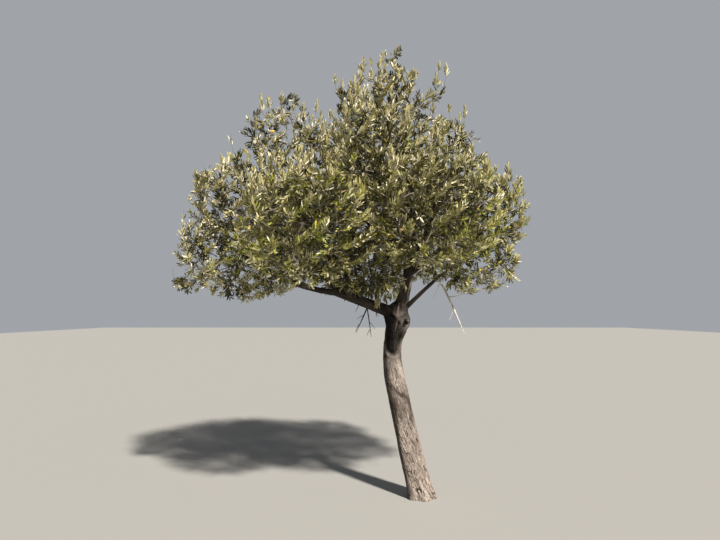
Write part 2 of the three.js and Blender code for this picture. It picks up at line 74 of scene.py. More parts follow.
# The same sizes as in the part's source, in millimetres.
TRUNK_ROUTE = ((0, 0, 0), (-138, 0, 630), (-250, 0, 1238), (-206, 0, 1543), (-180, 0, 1740))
TRUNK_PROFILE = ((0, 104), (320, 104), (900, 92), (1260, 77), (1370, 80), (1560, 112), (1660, 92), (1740, 56))
LIMB_TABLE = (
    # name, parent, share of the parent's length, tip, thick, thin, bow
    ("left_bough", "trunk", 0.925, (-781, -110, 1820), 54, 36, 3),
    ("left_outer_bough", "left_bough", 0.94, (-1230, -50, 1925), 28, 17, -20),
    ("left_far_bough", "left_outer_bough", 0.35, (-1690, 110, 2200), 20, 12, -30),
    ("left_rising_bough", "left_bough", 0.88, (-1370, 50, 2430), 30, 15, 25),
    ("middle_left_bough", "left_rising_bough", 0.45, (-1120, -90, 2300), 17, 11, 0),
    ("left_front_bough", "left_bough", 0.7, (-860, -600, 2230), 26, 13, -40),
    ("left_back_bough", "left_bough", 0.5, (-880, 600, 2390), 28, 14, -60),
    ("low_centre_bough", "left_bough", 0.55, (-560, 10, 1910), 15, 10, 0),
    ("low_front_bough", "left_bough", 0.3, (-440, -270, 1950), 15, 9, -15),
    ("central_bough", "trunk", 0.94, (-88, 30, 2250), 56, 38, 0),
    ("leader_bough", "central_bough", 0.93, (-275, 0, 3030), 34, 17, 0),
    ("upper_left_bough", "central_bough", 0.86, (-1000, 90, 2850), 31, 15, 40),
    ("centre_bough", "upper_left_bough", 0.3, (-480, -90, 2440), 16, 11, 0),
    ("centre_right_bough", "leader_bough", 0.12, (30, -60, 2400), 15, 10, 0),
    ("right_rising_bough", "central_bough", 0.8, (205, 10, 2660), 29, 14, -25),
    ("right_outer_bough", "central_bough", 0.55, (300, 70, 2330), 26, 13, -20),
    ("right_bough", "trunk", 0.92, (165, -130, 1950), 24, 13, 5),
    ("front_right_bough", "central_bough", 0.68, (70, -500, 2420), 24, 12, -25),
    ("back_right_bough", "central_bough", 0.62, (110, 560, 2400), 25, 13, -30),
    ("upper_front_bough", "leader_bough", 0.3, (-400, -330, 2740), 21, 12, -25),
    ("upper_back_bough", "leader_bough", 0.4, (-400, 330, 2830), 21, 12, -25),
    ("dead_bough", "right_outer_bough", 0.42, (328, -190, 1546), 9, 4.5, 40),
)
MASS_TABLE = (
    # name, limb, lift, lobes as (x, y, z, wide, deep, tall)
    ("top_foliage", "leader_bough", 0.75, (
        (-250, 0, 3330, 560, 500, 600),
        (-195, 0, 3970, 110, 110, 195),
        (185, 0, 3660, 90, 100, 150),
        (-680, 0, 3590, 130, 130, 170),
    )),
    ("upper_left_foliage", "upper_left_bough", 0.7, (
        (-1150, 20, 2990, 480, 450, 550),
        (-1190, 0, 3520, 150, 140, 170),
        (-1450, 0, 3290, 210, 190, 240),
    )),
    ("left_shoulder_foliage", "left_rising_bough", 0.45, (
        (-1680, 30, 2620, 460, 450, 430),
        (-2010, 0, 2860, 80, 80, 120),
        (-1640, 0, 3020, 100, 100, 140),
    )),
    ("far_left_foliage", "left_far_bough", 0.15, ((-1890, 40, 2220, 350, 430, 340),)),
    ("lower_left_foliage", "left_outer_bough", -0.05, (
        (-1540, -40, 1990, 490, 440, 270),
        (-2090, -40, 1890, 180, 130, 100),
    )),
    ("middle_left_foliage", "middle_left_bough", 0.4, ((-1130, -60, 2480, 430, 410, 390),)),
    ("front_left_foliage", "left_front_bough", 0.3, ((-960, -720, 2330, 600, 440, 520),)),
    ("back_left_foliage", "left_back_bough", 0.4, ((-1030, 760, 2540, 640, 470, 620),)),
    ("low_centre_foliage", "low_centre_bough", 0.2, ((-600, 0, 2020, 470, 400, 280),)),
    ("low_front_foliage", "low_front_bough", 0.2, ((-480, -400, 2060, 370, 330, 310),)),
    ("centre_foliage", "centre_bough", 0.5, ((-560, -20, 2690, 470, 440, 490),)),
    ("centre_right_foliage", "centre_right_bough", 0.4, ((20, -60, 2560, 380, 400, 400),)),
    ("upper_right_foliage", "right_rising_bough", 0.6, (
        (230, 0, 2980, 430, 430, 490),
        (420, 0, 3240, 110, 110, 130),
    )),
    ("right_foliage", "right_outer_bough", 0.3, ((600, 40, 2540, 440, 440, 410),)),
    ("lower_right_foliage", "right_bough", 0.05, ((470, -60, 2060, 480, 430, 270),)),
    ("front_right_foliage", "front_right_bough", 0.35, ((50, -720, 2450, 590, 440, 520),)),
    ("upper_front_foliage", "upper_front_bough", 0.5, ((-420, -570, 2960, 430, 350, 390),)),
    ("upper_back_foliage", "upper_back_bough", 0.5, ((-450, 580, 3080, 460, 370, 430),)),
    ("back_right_foliage", "back_right_bough", 0.4, ((130, 760, 2520, 640, 475, 600),)),
)
# The gaps in the crown and beside it, as seen from where the photograph was taken: x and z at the trunk's depth, how
# wide and how tall, and the share of the sprays that is missing there.
CROWN_GAPS = (
    (-1990, 3050, 230, 130, 0.85),
    (-960, 3600, 110, 190, 0.95),
    (-1250, 3390, 170, 190, 0.5),
    (140, 3660, 170, 260, 0.62),
    (600, 3340, 190, 250, 0.92),
    (300, 3540, 130, 110, 0.9),
    (640, 1990, 330, 170, 0.35),
    (-1950, 1990, 300, 190, 0.25),
    (-2180, 2480, 150, 330, 0.3),
    (190, 1950, 90, 110, 0.6),
)
# Where sprays hang out of the crown, over the fork, in the same measures.
HANGING_PLACES = ((-310, 1900, 180, 120, 1.0),)
# Where the photograph was taken from.
VIEWED_FROM = (-540.0, -5100.0, 1620.0)
# The bare twigs under the left bough, as in the part's source: their tips, how far along the bough the first one leaves
# it, and how far along the first one the second leaves that.
BARE_TIPS = ((-575, -70, 1450), (-440, -60, 1410), (-395, -40, 1590))
BARE_SHARE = 0.45
BARE_FORK = 0.14


def unit(vectors: np.ndarray) -> np.ndarray:
    """The vectors, one a row, at length one."""
    return vectors / np.maximum(np.linalg.norm(vectors, axis=-1, keepdims=True), 1e-9)


def eased(values: np.ndarray | float, low: np.ndarray | float, high: np.ndarray | float) -> np.ndarray:
    """A smooth step of values from 0 at low to 1 at high."""
    share = np.clip((values - low) / (high - low), 0.0, 1.0)
    return share * share * (3 - 2 * share)


def turn_between(first: np.ndarray, second: float) -> np.ndarray:
    """The signed angle from second to first, the short way round."""
    return np.arctan2(np.sin(first - second), np.cos(first - second))


class Grain:
    """Seeded smooth noise for whole arrays."""

    SIZE = 48

    def __init__(self, seed: int) -> None:
        """Fills a box with random numbers."""
        self.box = np.random.default_rng(seed).random((self.SIZE,) * 3)

    def at(self, x: np.ndarray, y: np.ndarray, z: np.ndarray) -> np.ndarray:
        """The noise at places.

        Args:
            x: first coordinate, where one unit is one lump.
            y: second coordinate.
            z: third coordinate.

        Returns:
            Numbers from -1 to 1.
        """
        places = np.stack(np.broadcast_arrays(x, y, z), axis=-1)
        low = np.floor(places).astype(int)
        share = places - low
        share = share * share * (3 - 2 * share)
        total = np.zeros(places.shape[:-1])
        for corner in np.ndindex(2, 2, 2):
            index = (low + corner) % self.SIZE
            weight = np.prod(np.where(corner, share, 1 - share), axis=-1)
            total += weight * self.box[index[..., 0], index[..., 1], index[..., 2]]
        return 2 * total - 1

    def layered(self, x: np.ndarray, y: np.ndarray, z: np.ndarray, layers: int) -> np.ndarray:
        """Noise with finer and weaker noise added to it, layers deep."""
        return sum(self.at(x * 2**i + 7 * i, y * 2**i, z * 2**i) * 0.5**i for i in range(layers))


class Path:
    """A smooth line, measured along its length."""

    ARCH_POINTS = 200
    RUN_POINTS = 80
    HEADING_STEP = 0.01

    def __init__(self, points: np.ndarray) -> None:
        """Keeps a line's points and how far along each is.

        Args:
            points: closely spaced points, one a row.
        """
        self.points = points
        steps = np.linalg.norm(np.diff(points, axis=0), axis=1)
        self.reach = np.concatenate([[0.0], np.cumsum(steps)])

    @property
    def length(self) -> float:
        """The whole length."""
        return float(self.reach[-1])

    def at(self, shares: np.ndarray | float) -> np.ndarray:
        """The places at shares of the way along."""
        wanted = np.asarray(shares) * self.length
        return np.stack([np.interp(wanted, self.reach, self.points[:, i]) for i in range(3)], axis=-1)

    def heading(self, shares: np.ndarray | float) -> np.ndarray:
        """The directions at shares of the way along."""
        low, high = np.asarray(shares) - self.HEADING_STEP, np.asarray(shares) + self.HEADING_STEP
        return unit(self.at(np.minimum(high, 1.0)) - self.at(np.maximum(low, 0.0)))

    @staticmethod
    def arch(start: np.ndarray, middle: np.ndarray, end: np.ndarray) -> Path:
        """A line that is drawn towards its middle point."""
        t = np.linspace(0, 1, Path.ARCH_POINTS)[:, None]
        return Path((1 - t) ** 2 * start + 2 * (1 - t) * t * middle + t**2 * end)

    @staticmethod
    def through(corners: np.ndarray) -> Path:
        """A smooth line through corners, paced by the roots of their distances.

        Args:
            corners: the places that it runs through, one a row.

        Returns:
            The line.
        """
        ends = np.vstack([2 * corners[0] - corners[1], corners, 2 * corners[-1] - corners[-2]])
        gaps = np.sqrt(np.linalg.norm(np.diff(ends, axis=0), axis=1))
        t = np.linspace(0, 1, Path.RUN_POINTS, endpoint=False)[:, None]
        runs = []
        for i in range(len(corners) - 1):
            a, b, c, d = ends[i : i + 4]
            before, here, after = gaps[i : i + 3]
            leaving = here * ((b - a) / before - (c - a) / (before + here) + (c - b) / here)
            arriving = here * ((c - b) / here - (d - b) / (here + after) + (d - c) / after)
            runs.append(
                b + leaving * t + (3 * (c - b) - 2 * leaving - arriving) * t**2
                + (2 * (b - c) + leaving + arriving) * t**3
            )
        return Path(np.vstack([*runs, corners[-1:]]))


def carried_frames(headings: np.ndarray) -> tuple[np.ndarray, np.ndarray]:
    """Two directions square to each heading of a line, carried along it without twist.

    Args:
        headings: the line's directions, one a row.

    Returns:
        The first and the second direction, one a row each.
    """
    firsts = np.empty_like(headings)
    axis = np.zeros(3)
    axis[np.argmin(np.abs(headings[0]))] = 1.0
    first = axis - headings[0] * headings[0].dot(axis)
    for i, heading in enumerate(headings):
        first = unit(first - heading * heading.dot(first))
        firsts[i] = first
    return firsts, np.cross(headings, firsts)


def round_points(bearings: np.ndarray, firsts: np.ndarray, seconds: np.ndarray) -> np.ndarray:
    """Points on circles of radius one, a circle for each pair of directions and a point for each bearing."""
    return np.cos(bearings)[:, None] * firsts[:, None] + np.sin(bearings)[:, None] * seconds[:, None]


# Nodes and finishes.


class Value:
    """A socket of a shader that Python's operators work on."""

    def __init__(self, nodes: Nodes, socket: bpy.types.NodeSocket) -> None:
        """Holds a socket of a node tree."""
        self.nodes = nodes
        self.socket = socket

    def _with(self, operation: str, first: Value | float, second: Value | float) -> Value:
        """A Math node on two values."""
        node = self.nodes.node("ShaderNodeMath", {"operation": operation}, {0: first, 1: second})
        return Value(self.nodes, node.outputs[0])

    def __add__(self, other: Value | float) -> Value:
        """The sum."""
        return self._with("ADD", self, other)

    __radd__ = __add__

    def __sub__(self, other: Value | float) -> Value:
        """The difference."""
        return self._with("SUBTRACT", self, other)

    def __rsub__(self, other: Value | float) -> Value:
        """The difference, the other way round."""
        return self._with("SUBTRACT", other, self)

    def __mul__(self, other: Value | float) -> Value:
        """The product."""
        return self._with("MULTIPLY", self, other)

    __rmul__ = __mul__

    def stepped(self, low: float, high: float) -> Value:
        """A smooth step.

        Args:
            low: where it leaves 0.
            high: where it reaches 1.

        Returns:
            The stepped value.
        """
        node = self.nodes.node(
            "ShaderNodeMapRange",
            {"interpolation_type": "SMOOTHSTEP"},
            {"Value": self, "From Min": low, "From Max": high},
        )
        return Value(self.nodes, node.outputs[0])


class Nodes:
    """The nodes of one tree."""

    def __init__(self, tree: bpy.types.NodeTree) -> None:
        """Empties the tree."""
        self.tree = tree
        self.tree.nodes.clear()

    def node(self, kind: str, settings: dict | None = None, sockets: dict | None = None) -> bpy.types.Node:
        """Adds a node.

        Args:
            kind: Blender's name for the node's type.
            settings: its own settings, which are set first.
            sockets: numbers, colours, values or links for its sockets, by name or number.

        Returns:
            The node.
        """
        made = self.tree.nodes.new(kind)
        for name, setting in (settings or {}).items():
            setattr(made, name, setting)
        for name, given in (sockets or {}).items():
            self.feed(made.inputs[name], given)
        return made

    def feed(self, socket: bpy.types.NodeSocket, given: object) -> None:
        """Sets a socket, or links it.

        Args:
            socket: the socket.
            given: the number or colour that it gets, or the value or socket that it is linked to.
        """
        if isinstance(given, Value):
            given = given.socket
        if isinstance(given, bpy.types.NodeSocket):
            self.tree.links.new(given, socket)
        elif isinstance(given, tuple) and len(given) == 3 and socket.type == "RGBA":
            socket.default_value = (*given, 1.0)
        else:
            socket.default_value = given


class Paint(Nodes):
    """The nodes of one material, which end in one Principled shader."""

    NOISE_ROUGHNESS = 0.6

    def __init__(self, name: str) -> None:
        """Starts a material with its shader and output.

        Args:
            name: the material's name.
        """
        self.material = bpy.data.materials.new(name)
        self.material.use_nodes = True
        super().__init__(self.material.node_tree)
        self.shader = self.node("ShaderNodeBsdfPrincipled")
        self.node("ShaderNodeOutputMaterial", sockets={"Surface": self.shader.outputs[0]})

    def noise(self, stretch: Place, detail: float) -> Value:
        """Noise over the object.

        Args:
            stretch: how many lumps it has to the metre, along each axis.
            detail: how many layers of finer noise are added to it.

        Returns:
            The noise, from 0 to 1.
        """
        place = self.node("ShaderNodeTexCoord").outputs["Object"]
        stretched = self.node("ShaderNodeVectorMath", {"operation": "MULTIPLY"}, {0: place, 1: stretch}).outputs[0]
        node = self.node(
            "ShaderNodeTexNoise",
            sockets={"Vector": stretched, "Scale": 1.0, "Detail": detail, "Roughness": self.NOISE_ROUGHNESS},
        )
        return Value(self, node.outputs["Fac"])

    def kept(self, name: str) -> Value:
        """A number that the mesh keeps at each of its points."""
        return Value(self, self.node("ShaderNodeAttribute", {"attribute_name": name}).outputs["Fac"])

    def mixed(self, share: Value | float, first: object, second: object) -> bpy.types.NodeSocket:
        """A colour from first to second by share."""
        return self.node("ShaderNodeMix", {"data_type": "RGBA"}, {0: share, 6: first, 7: second}).outputs[2]

    def bump(self, height: Value, depth: float) -> None:
        """Raises the surface by height, depth metres at most."""
        node = self.node("ShaderNodeBump", sockets={"Strength": 1.0, "Distance": depth, "Height": height})
        self.feed(self.shader.inputs["Normal"], node.outputs[0])


@dataclass(frozen=True)
class BarkFinish:
    """Fissured bark: dark in its cracks, grey-brown between them, pale where it weathers, dark on young wood and with
    painted shade, near black with painted shade in recesses, and pale with painted light where its marks say.
    """

    name: str
    crack: Colour
    flake: Colour
    weathered: Colour
    dark_flake: Colour
    dark_weathered: Colour
    hollow: Colour
    grain: Place
    roughness: float
    sheen: float
    bump_depth: float
    patches: Place = (5.0, 5.0, 3.0)
    # the noise at which dark streaks begin and are full, and how dark they are
    streaks: tuple[float, float] = (0.56, 0.36)
    streak_share: float = 0.75

    def made(self) -> bpy.types.Material:
        """Builds the material.

        Returns:
            The material, which reads the marks that BarkRelief and Trunk keep on their meshes.
        """
        paint = Paint(self.name)
        fine = paint.noise(self.grain, 6.0)
        patches = paint.noise(self.patches, 3.0)
        crevice = paint.kept("crevice")
        weathering = (patches * 0.8 + paint.kept("flake") * 0.7 - 0.25).stepped(0.1, 0.8)
        # the dark mark is partly young bark and partly painted shade
        dark = paint.kept("dark")
        flakes = paint.mixed(
            weathering,
            paint.mixed(dark, self.flake, self.dark_flake),
            paint.mixed(dark, self.weathered, self.dark_weathered),
        )
        streaked = paint.mixed(fine.stepped(*self.streaks) * self.streak_share, flakes, self.crack)
        cracked = paint.mixed((crevice * 0.75 + fine * 0.55).stepped(0.3, 0.85), self.crack, streaked)
        # the pale mark is partly painted light and painted highlight
        pale = paint.mixed(paint.kept("pale"), cracked, self.weathered)
        # the hollow mark is painted shade, near black, in the hollow and other recesses
        coloured = paint.mixed(paint.kept("hollow") * (1.15 - fine * 0.35), pale, self.hollow)
        paint.feed(paint.shader.inputs["Base Color"], coloured)
        paint.feed(paint.shader.inputs["Roughness"], self.roughness - fine * 0.12)
        paint.feed(paint.shader.inputs["Specular IOR Level"], self.sheen)
        paint.bump(fine + crevice * 0.4, self.bump_depth)
        return paint.material


@dataclass(frozen=True)
class DeadWoodFinish:
    """Bare silvery wood with fine streaks along its grain."""

    name: str
    pale: Colour
    dark: Colour
    grain: Place = (170.0, 170.0, 30.0)
    bump_depth: float = 0.001

    def made(self) -> bpy.types.Material:
        """Builds the material.

        Returns:
            The material.
        """
        paint = Paint(self.name)
        streaks = paint.noise(self.grain, 4.0)
        paint.feed(paint.shader.inputs["Base Color"], paint.mixed(streaks.stepped(0.3, 0.7), self.dark, self.pale))
        paint.feed(paint.shader.inputs["Roughness"], 0.8 + streaks * 0.15)
        paint.bump(streaks, self.bump_depth)
        return paint.material


@dataclass(frozen=True)
class PlainFinish:
    """One even colour, for small things whose tints are dealt out by spray."""

    name: str
    colour: Colour
    roughness: float

    def made(self) -> bpy.types.Material:
        """Builds the material.

        Returns:
            The material.
        """
        paint = Paint(self.name)
        paint.feed(paint.shader.inputs["Base Color"], self.colour)
        paint.feed(paint.shader.inputs["Roughness"], self.roughness)
        return paint.material


class Tint(Enum):
    """The upper sides of leaves, and the pale underside."""

    # cream is painted highlight: the glint of light on the leaves
    CREAM = PlainFinish("leaf_cream", (0.68, 0.63, 0.46), 0.45)
    SILVER = PlainFinish("leaf_silver", (0.425, 0.385, 0.205), 0.45)
    GREY_GREEN = PlainFinish("leaf_grey_green", (0.21, 0.188, 0.058), 0.45)
    OLIVE = PlainFinish("leaf_olive", (0.107, 0.102, 0.016), 0.42)
    FRESH = PlainFinish("leaf_fresh", (0.25, 0.262, 0.032), 0.42)
    # shade is painted shade, for sprays deep in the crown and over the fork
    SHADE = PlainFinish("leaf_shade", (0.024, 0.020, 0.004), 0.5)
    YELLOW = PlainFinish("leaf_yellow", (0.56, 0.42, 0.05), 0.5)
    RUST = PlainFinish("leaf_rust", (0.24, 0.13, 0.055), 0.65)
    UNDERSIDE = PlainFinish("leaf_underside", (0.385, 0.35, 0.16), 0.7)


# The slot that each tint has on the leaves' meshes.
TINT_NUMBER = {tint: number for number, tint in enumerate(Tint)}


class TwigTint(Enum):
    """The skins of twigs, from old wood to this year's shoots."""

    OLD = PlainFinish("twig_old", (0.075, 0.058, 0.042), 0.9)
    GREY = PlainFinish("twig_grey", (0.175, 0.148, 0.113), 0.85)
    YOUNG = PlainFinish("twig_young", (0.27, 0.26, 0.16), 0.75)


# The trunk's dark colours serve painted shade and a darker band and line; its near-black hollow colour is painted shade
# in the hollow and other recesses.
BARK = BarkFinish(
    "trunk_bark", crack=(0.055, 0.044, 0.037), flake=(0.215, 0.173, 0.150), weathered=(0.455, 0.385, 0.335),
    dark_flake=(0.034, 0.027, 0.022), dark_weathered=(0.092, 0.076, 0.062), hollow=(0.004, 0.003, 0.002),
    grain=(150.0, 150.0, 34.0), roughness=0.95, sheen=0.15, bump_depth=0.006,
)
# The boughs' dark colours are partly their young bark and partly painted shade of the crown.
BOUGH_BARK = replace(
    BARK, name="bough_bark", dark_flake=(0.022, 0.017, 0.014), dark_weathered=(0.058, 0.047, 0.038),
    grain=(110.0, 110.0, 110.0), bump_depth=0.004,
)
DEAD_WOOD = DeadWoodFinish("bare_wood", pale=(0.76, 0.69, 0.61), dark=(0.40, 0.35, 0.29))
# The bare twigs' dark wood is partly their own dark bark and partly painted shade of the crown.
DARK_WOOD = DeadWoodFinish("dark_wood", pale=(0.11, 0.085, 0.065), dark=(0.035, 0.026, 0.020))
FLOOR = PlainFinish("pale_floor", (0.32, 0.315, 0.305), 0.9)


# Meshes.


def mesh_object(name: str, points: np.ndarray, faces: np.ndarray, finishes: list[bpy.types.Material],
                tints: np.ndarray | None = None, marks: dict[str, np.ndarray] | None = None,
                smooth: bool = True) -> bpy.types.Object:
    """Makes an object from arrays.

    Args:
        name: the piece's name.
        points: places in millimetres, one a row.
        faces: the points of each face, one a row, all with equally many.
        finishes: the materials of its slots.
        tints: which slot each face wears, or None for the first.
        marks: numbers to keep at each point, by name.
        smooth: whether its shading is smooth.

    Returns:
        The object, linked into the scene and riding on the tree's one body.
    """
    corners = faces.shape[1]
    mesh = bpy.data.meshes.new(name)
    mesh.vertices.add(len(points))
    mesh.vertices.foreach_set("co", (points * METRES).astype(np.float32).ravel())
    mesh.loops.add(faces.size)
    mesh.loops.foreach_set("vertex_index", faces.astype(np.int32).ravel())
    mesh.polygons.add(len(faces))
    mesh.polygons.foreach_set("loop_start", np.arange(0, faces.size, corners, dtype=np.int32))
    mesh.polygons.foreach_set("loop_total", np.full(len(faces), corners, dtype=np.int32))
    if tints is not None:
        mesh.polygons.foreach_set("material_index", tints.astype(np.int32))
    for finish in finishes:
        mesh.materials.append(finish)
    for mark, values in (marks or {}).items():
        mesh.attributes.new(mark, "FLOAT", "POINT").data.foreach_set("value", values.astype(np.float32).ravel())
    mesh.update(calc_edges=True)
    mesh.validate()
    mesh.polygons.foreach_set("use_smooth", np.full(len(faces), smooth))
    piece = bpy.data.objects.new(name, mesh)
    bpy.context.scene.collection.objects.link(piece)
    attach(piece, BODY)
    LOG.info("%s: %d triangles", name, len(faces) * (corners - 2))
    return piece


def tube_faces(rows: int, sides: int) -> np.ndarray:
    """The four-sided faces between rings of points.

    Args:
        rows: how many rings there are.
        sides: how many points a ring has.

    Returns:
        The points of each face, one a row.
    """
    row, side = np.meshgrid(np.arange(rows - 1), np.arange(sides), indexing="ij")
    following = (side + 1) % sides
    low, high = row * sides, (row + 1) * sides
    return np.stack([low + side, low + following, high + following, high + side], axis=-1).reshape(-1, 4)


@dataclass
class BarkRelief:
    """Long shallow fissures that part and join again, with small cracks between them, on a round limb."""

    seed: int
    fissure_gap: float
    fissure_length: float
    depth: float
    # how far the fissures sway, and the noise at which fissures and small cracks end
    sway: float = 0.7
    fissure_edge: float = 0.24
    crack_edge: float = 0.32
    # how much weathered flakes and fine roughness add to the relief
    flake_share: float = 0.3
    rough_share: float = 0.16
    grain: Grain = field(init=False)

    def __post_init__(self) -> None:
        """Makes its noise."""
        self.grain = Grain(self.seed)

    def on(self, bearings: np.ndarray, heights: np.ndarray, radius: float) -> tuple[np.ndarray, np.ndarray, np.ndarray]:
        """The relief of a limb.

        Args:
            bearings: angles round the limb.
            heights: places along it in millimetres, one for each bearing.
            radius: its usual radius.

        Returns:
            How far the surface is raised, how far out of a crack it is from 0 to 1, and how weathered it is.
        """
        x = np.cos(bearings) * radius / self.fissure_gap
        y = np.sin(bearings) * radius / self.fissure_gap
        z = heights / self.fissure_length
        sway = self.sway * self.grain.layered(x / 3, y / 3, z * 0.8, 2)
        fissure = eased(np.abs(self.grain.at(x + sway, y - sway, z)), 0.0, self.fissure_edge)
        crack = eased(np.abs(self.grain.at(2.2 * x + 9, 2.2 * y + sway, 2.4 * z + 5)), 0.0, self.crack_edge)
        open_here = 0.25 + 0.75 * eased(self.grain.layered(x / 2.2, y / 2.2 + 3, z / 1.6, 2), -0.45, 0.35)
        crevice = (1 - (1 - fissure) * open_here) * (0.7 + 0.3 * crack)
        weathered = 0.5 + 0.5 * self.grain.layered(1.2 * x, 1.2 * y + 5, 1.3 * z, 2)
        rough = self.grain.layered(2.5 * x, 2.5 * y, 3.5 * z, 2)
        raised = self.depth * (crevice - 0.7 + self.flake_share * (weathered - 0.5) + self.rough_share * rough)
        return raised, crevice, weathered


@dataclass(frozen=True)
class Limb:
    """One limb: its parent, how far along that it leaves, its tip, its radii at root and tip, and its bow."""

    parent: str
    share: float
    tip: Place
    thick: float
    thin: float
    bow: float


class Skeleton:
    """The trunk and all its limbs as lines with radii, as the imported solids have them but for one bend."""

    # how much thicker a limb is at its root, and how soon that ends, in radii
    COLLAR = 0.35
    COLLAR_REACH = 1.6
    # how many straight steps stand for a limb where foliage keeps clear of it
    BEADS = 12
    # a bend of the upright bough to the right, which the solids leave out
    UPRIGHT_BEND = np.array([66.0, 0.0, 0.0])
    # what is added to the trunk's mean radius to keep foliage clear of its flutes and lumps
    TRUNK_SPARE = 24.0
    # the share of its parent's radius that a limb's root is buried by
    BURIED_SHARE = 0.9

    def __init__(self) -> None:
        """Lays out the trunk and then each limb from its parent."""
        self.paths = {"trunk": Path.through(np.array(TRUNK_ROUTE, float))}
        self.limbs = {name: Limb(*row) for name, *row in LIMB_TABLE}
        for name, limb in self.limbs.items():
            start = self.paths[limb.parent].at(limb.share)
            end = np.array(limb.tip, float)
            middle = (start + end) / 2 + UP * 2 * limb.bow + (self.UPRIGHT_BEND if name == "central_bough" else 0)
            self.paths[name] = Path.arch(start, middle, end)
        shares = np.linspace(0, 1, self.BEADS + 1)
        lines = [(self.paths[name].at(shares), self.radius(name, shares)) for name in self.paths]
        self.starts = np.vstack([places[:-1] for places, _ in lines])
        self.steps = np.vstack([np.diff(places, axis=0) for places, _ in lines])
        self.radii = np.concatenate([np.maximum(radii[:-1], radii[1:]) for _, radii in lines])

    def radius(self, name: str, shares: np.ndarray) -> np.ndarray:
        """The radii of a limb, or roughly of the trunk.

        Args:
            name: the limb's name, or "trunk".
            shares: shares of its length.

        Returns:
            Its radius at each share.
        """
        if name == "trunk":
            return trunk_profile(self.paths[name].at(shares)[:, 2]) + self.TRUNK_SPARE
        limb = self.limbs[name]
        collar = 1 + self.COLLAR * np.exp(-shares * self.paths[name].length / (self.COLLAR_REACH * limb.thick))
        return (limb.thin + (limb.thick - limb.thin) * (1 - shares)) * collar

    def cover(self, name: str) -> float:
        """How far a limb's root is buried in its parent."""
        limb = self.limbs[name]
        return float(self.radius(limb.parent, np.array([limb.share]))[0]) * self.BURIED_SHARE

    def clear(self, points: np.ndarray, clearance: float) -> np.ndarray:
        """Which points are clear of the trunk and of every limb.

        Args:
            points: places, one a row.
            clearance: how far away from wood a clear point is at least.

        Returns:
            One truth value for each point.
        """
        away = points[:, None, :] - self.starts[None]
        share = np.clip((away * self.steps).sum(-1) / (self.steps**2).sum(-1), 0, 1)
        distance = np.linalg.norm(away - share[..., None] * self.steps, axis=-1)
        return (distance > self.radii + clearance).all(axis=1)


def trunk_profile(heights: np.ndarray) -> np.ndarray:
    """The trunk's mean radii, in smooth steps between the sizes of its profile.

    Args:
        heights: heights above the ground.

    Returns:
        A radius for each height.
    """
    places, sizes = np.array(TRUNK_PROFILE, float).T
    after = np.clip(np.searchsorted(places, heights), 1, len(places) - 1)
    share = eased(heights, places[after - 1], places[after])
    return sizes[after - 1] + (sizes[after] - sizes[after - 1]) * share


@dataclass(frozen=True)
class Spot:
    """A soft-edged patch on the trunk: its height, half of how tall it is, its bearing and half of how wide it is."""

    height: float
    tall: float
    bearing: float
    wide: float

    def at(self, height: np.ndarray, bearing: np.ndarray) -> np.ndarray:
        """How much of it is at places, from 0 to 1."""
        aside = turn_between(bearing, self.bearing) / self.wide
        return np.exp(-(((height - self.height) / self.tall) ** 2) - aside**2)


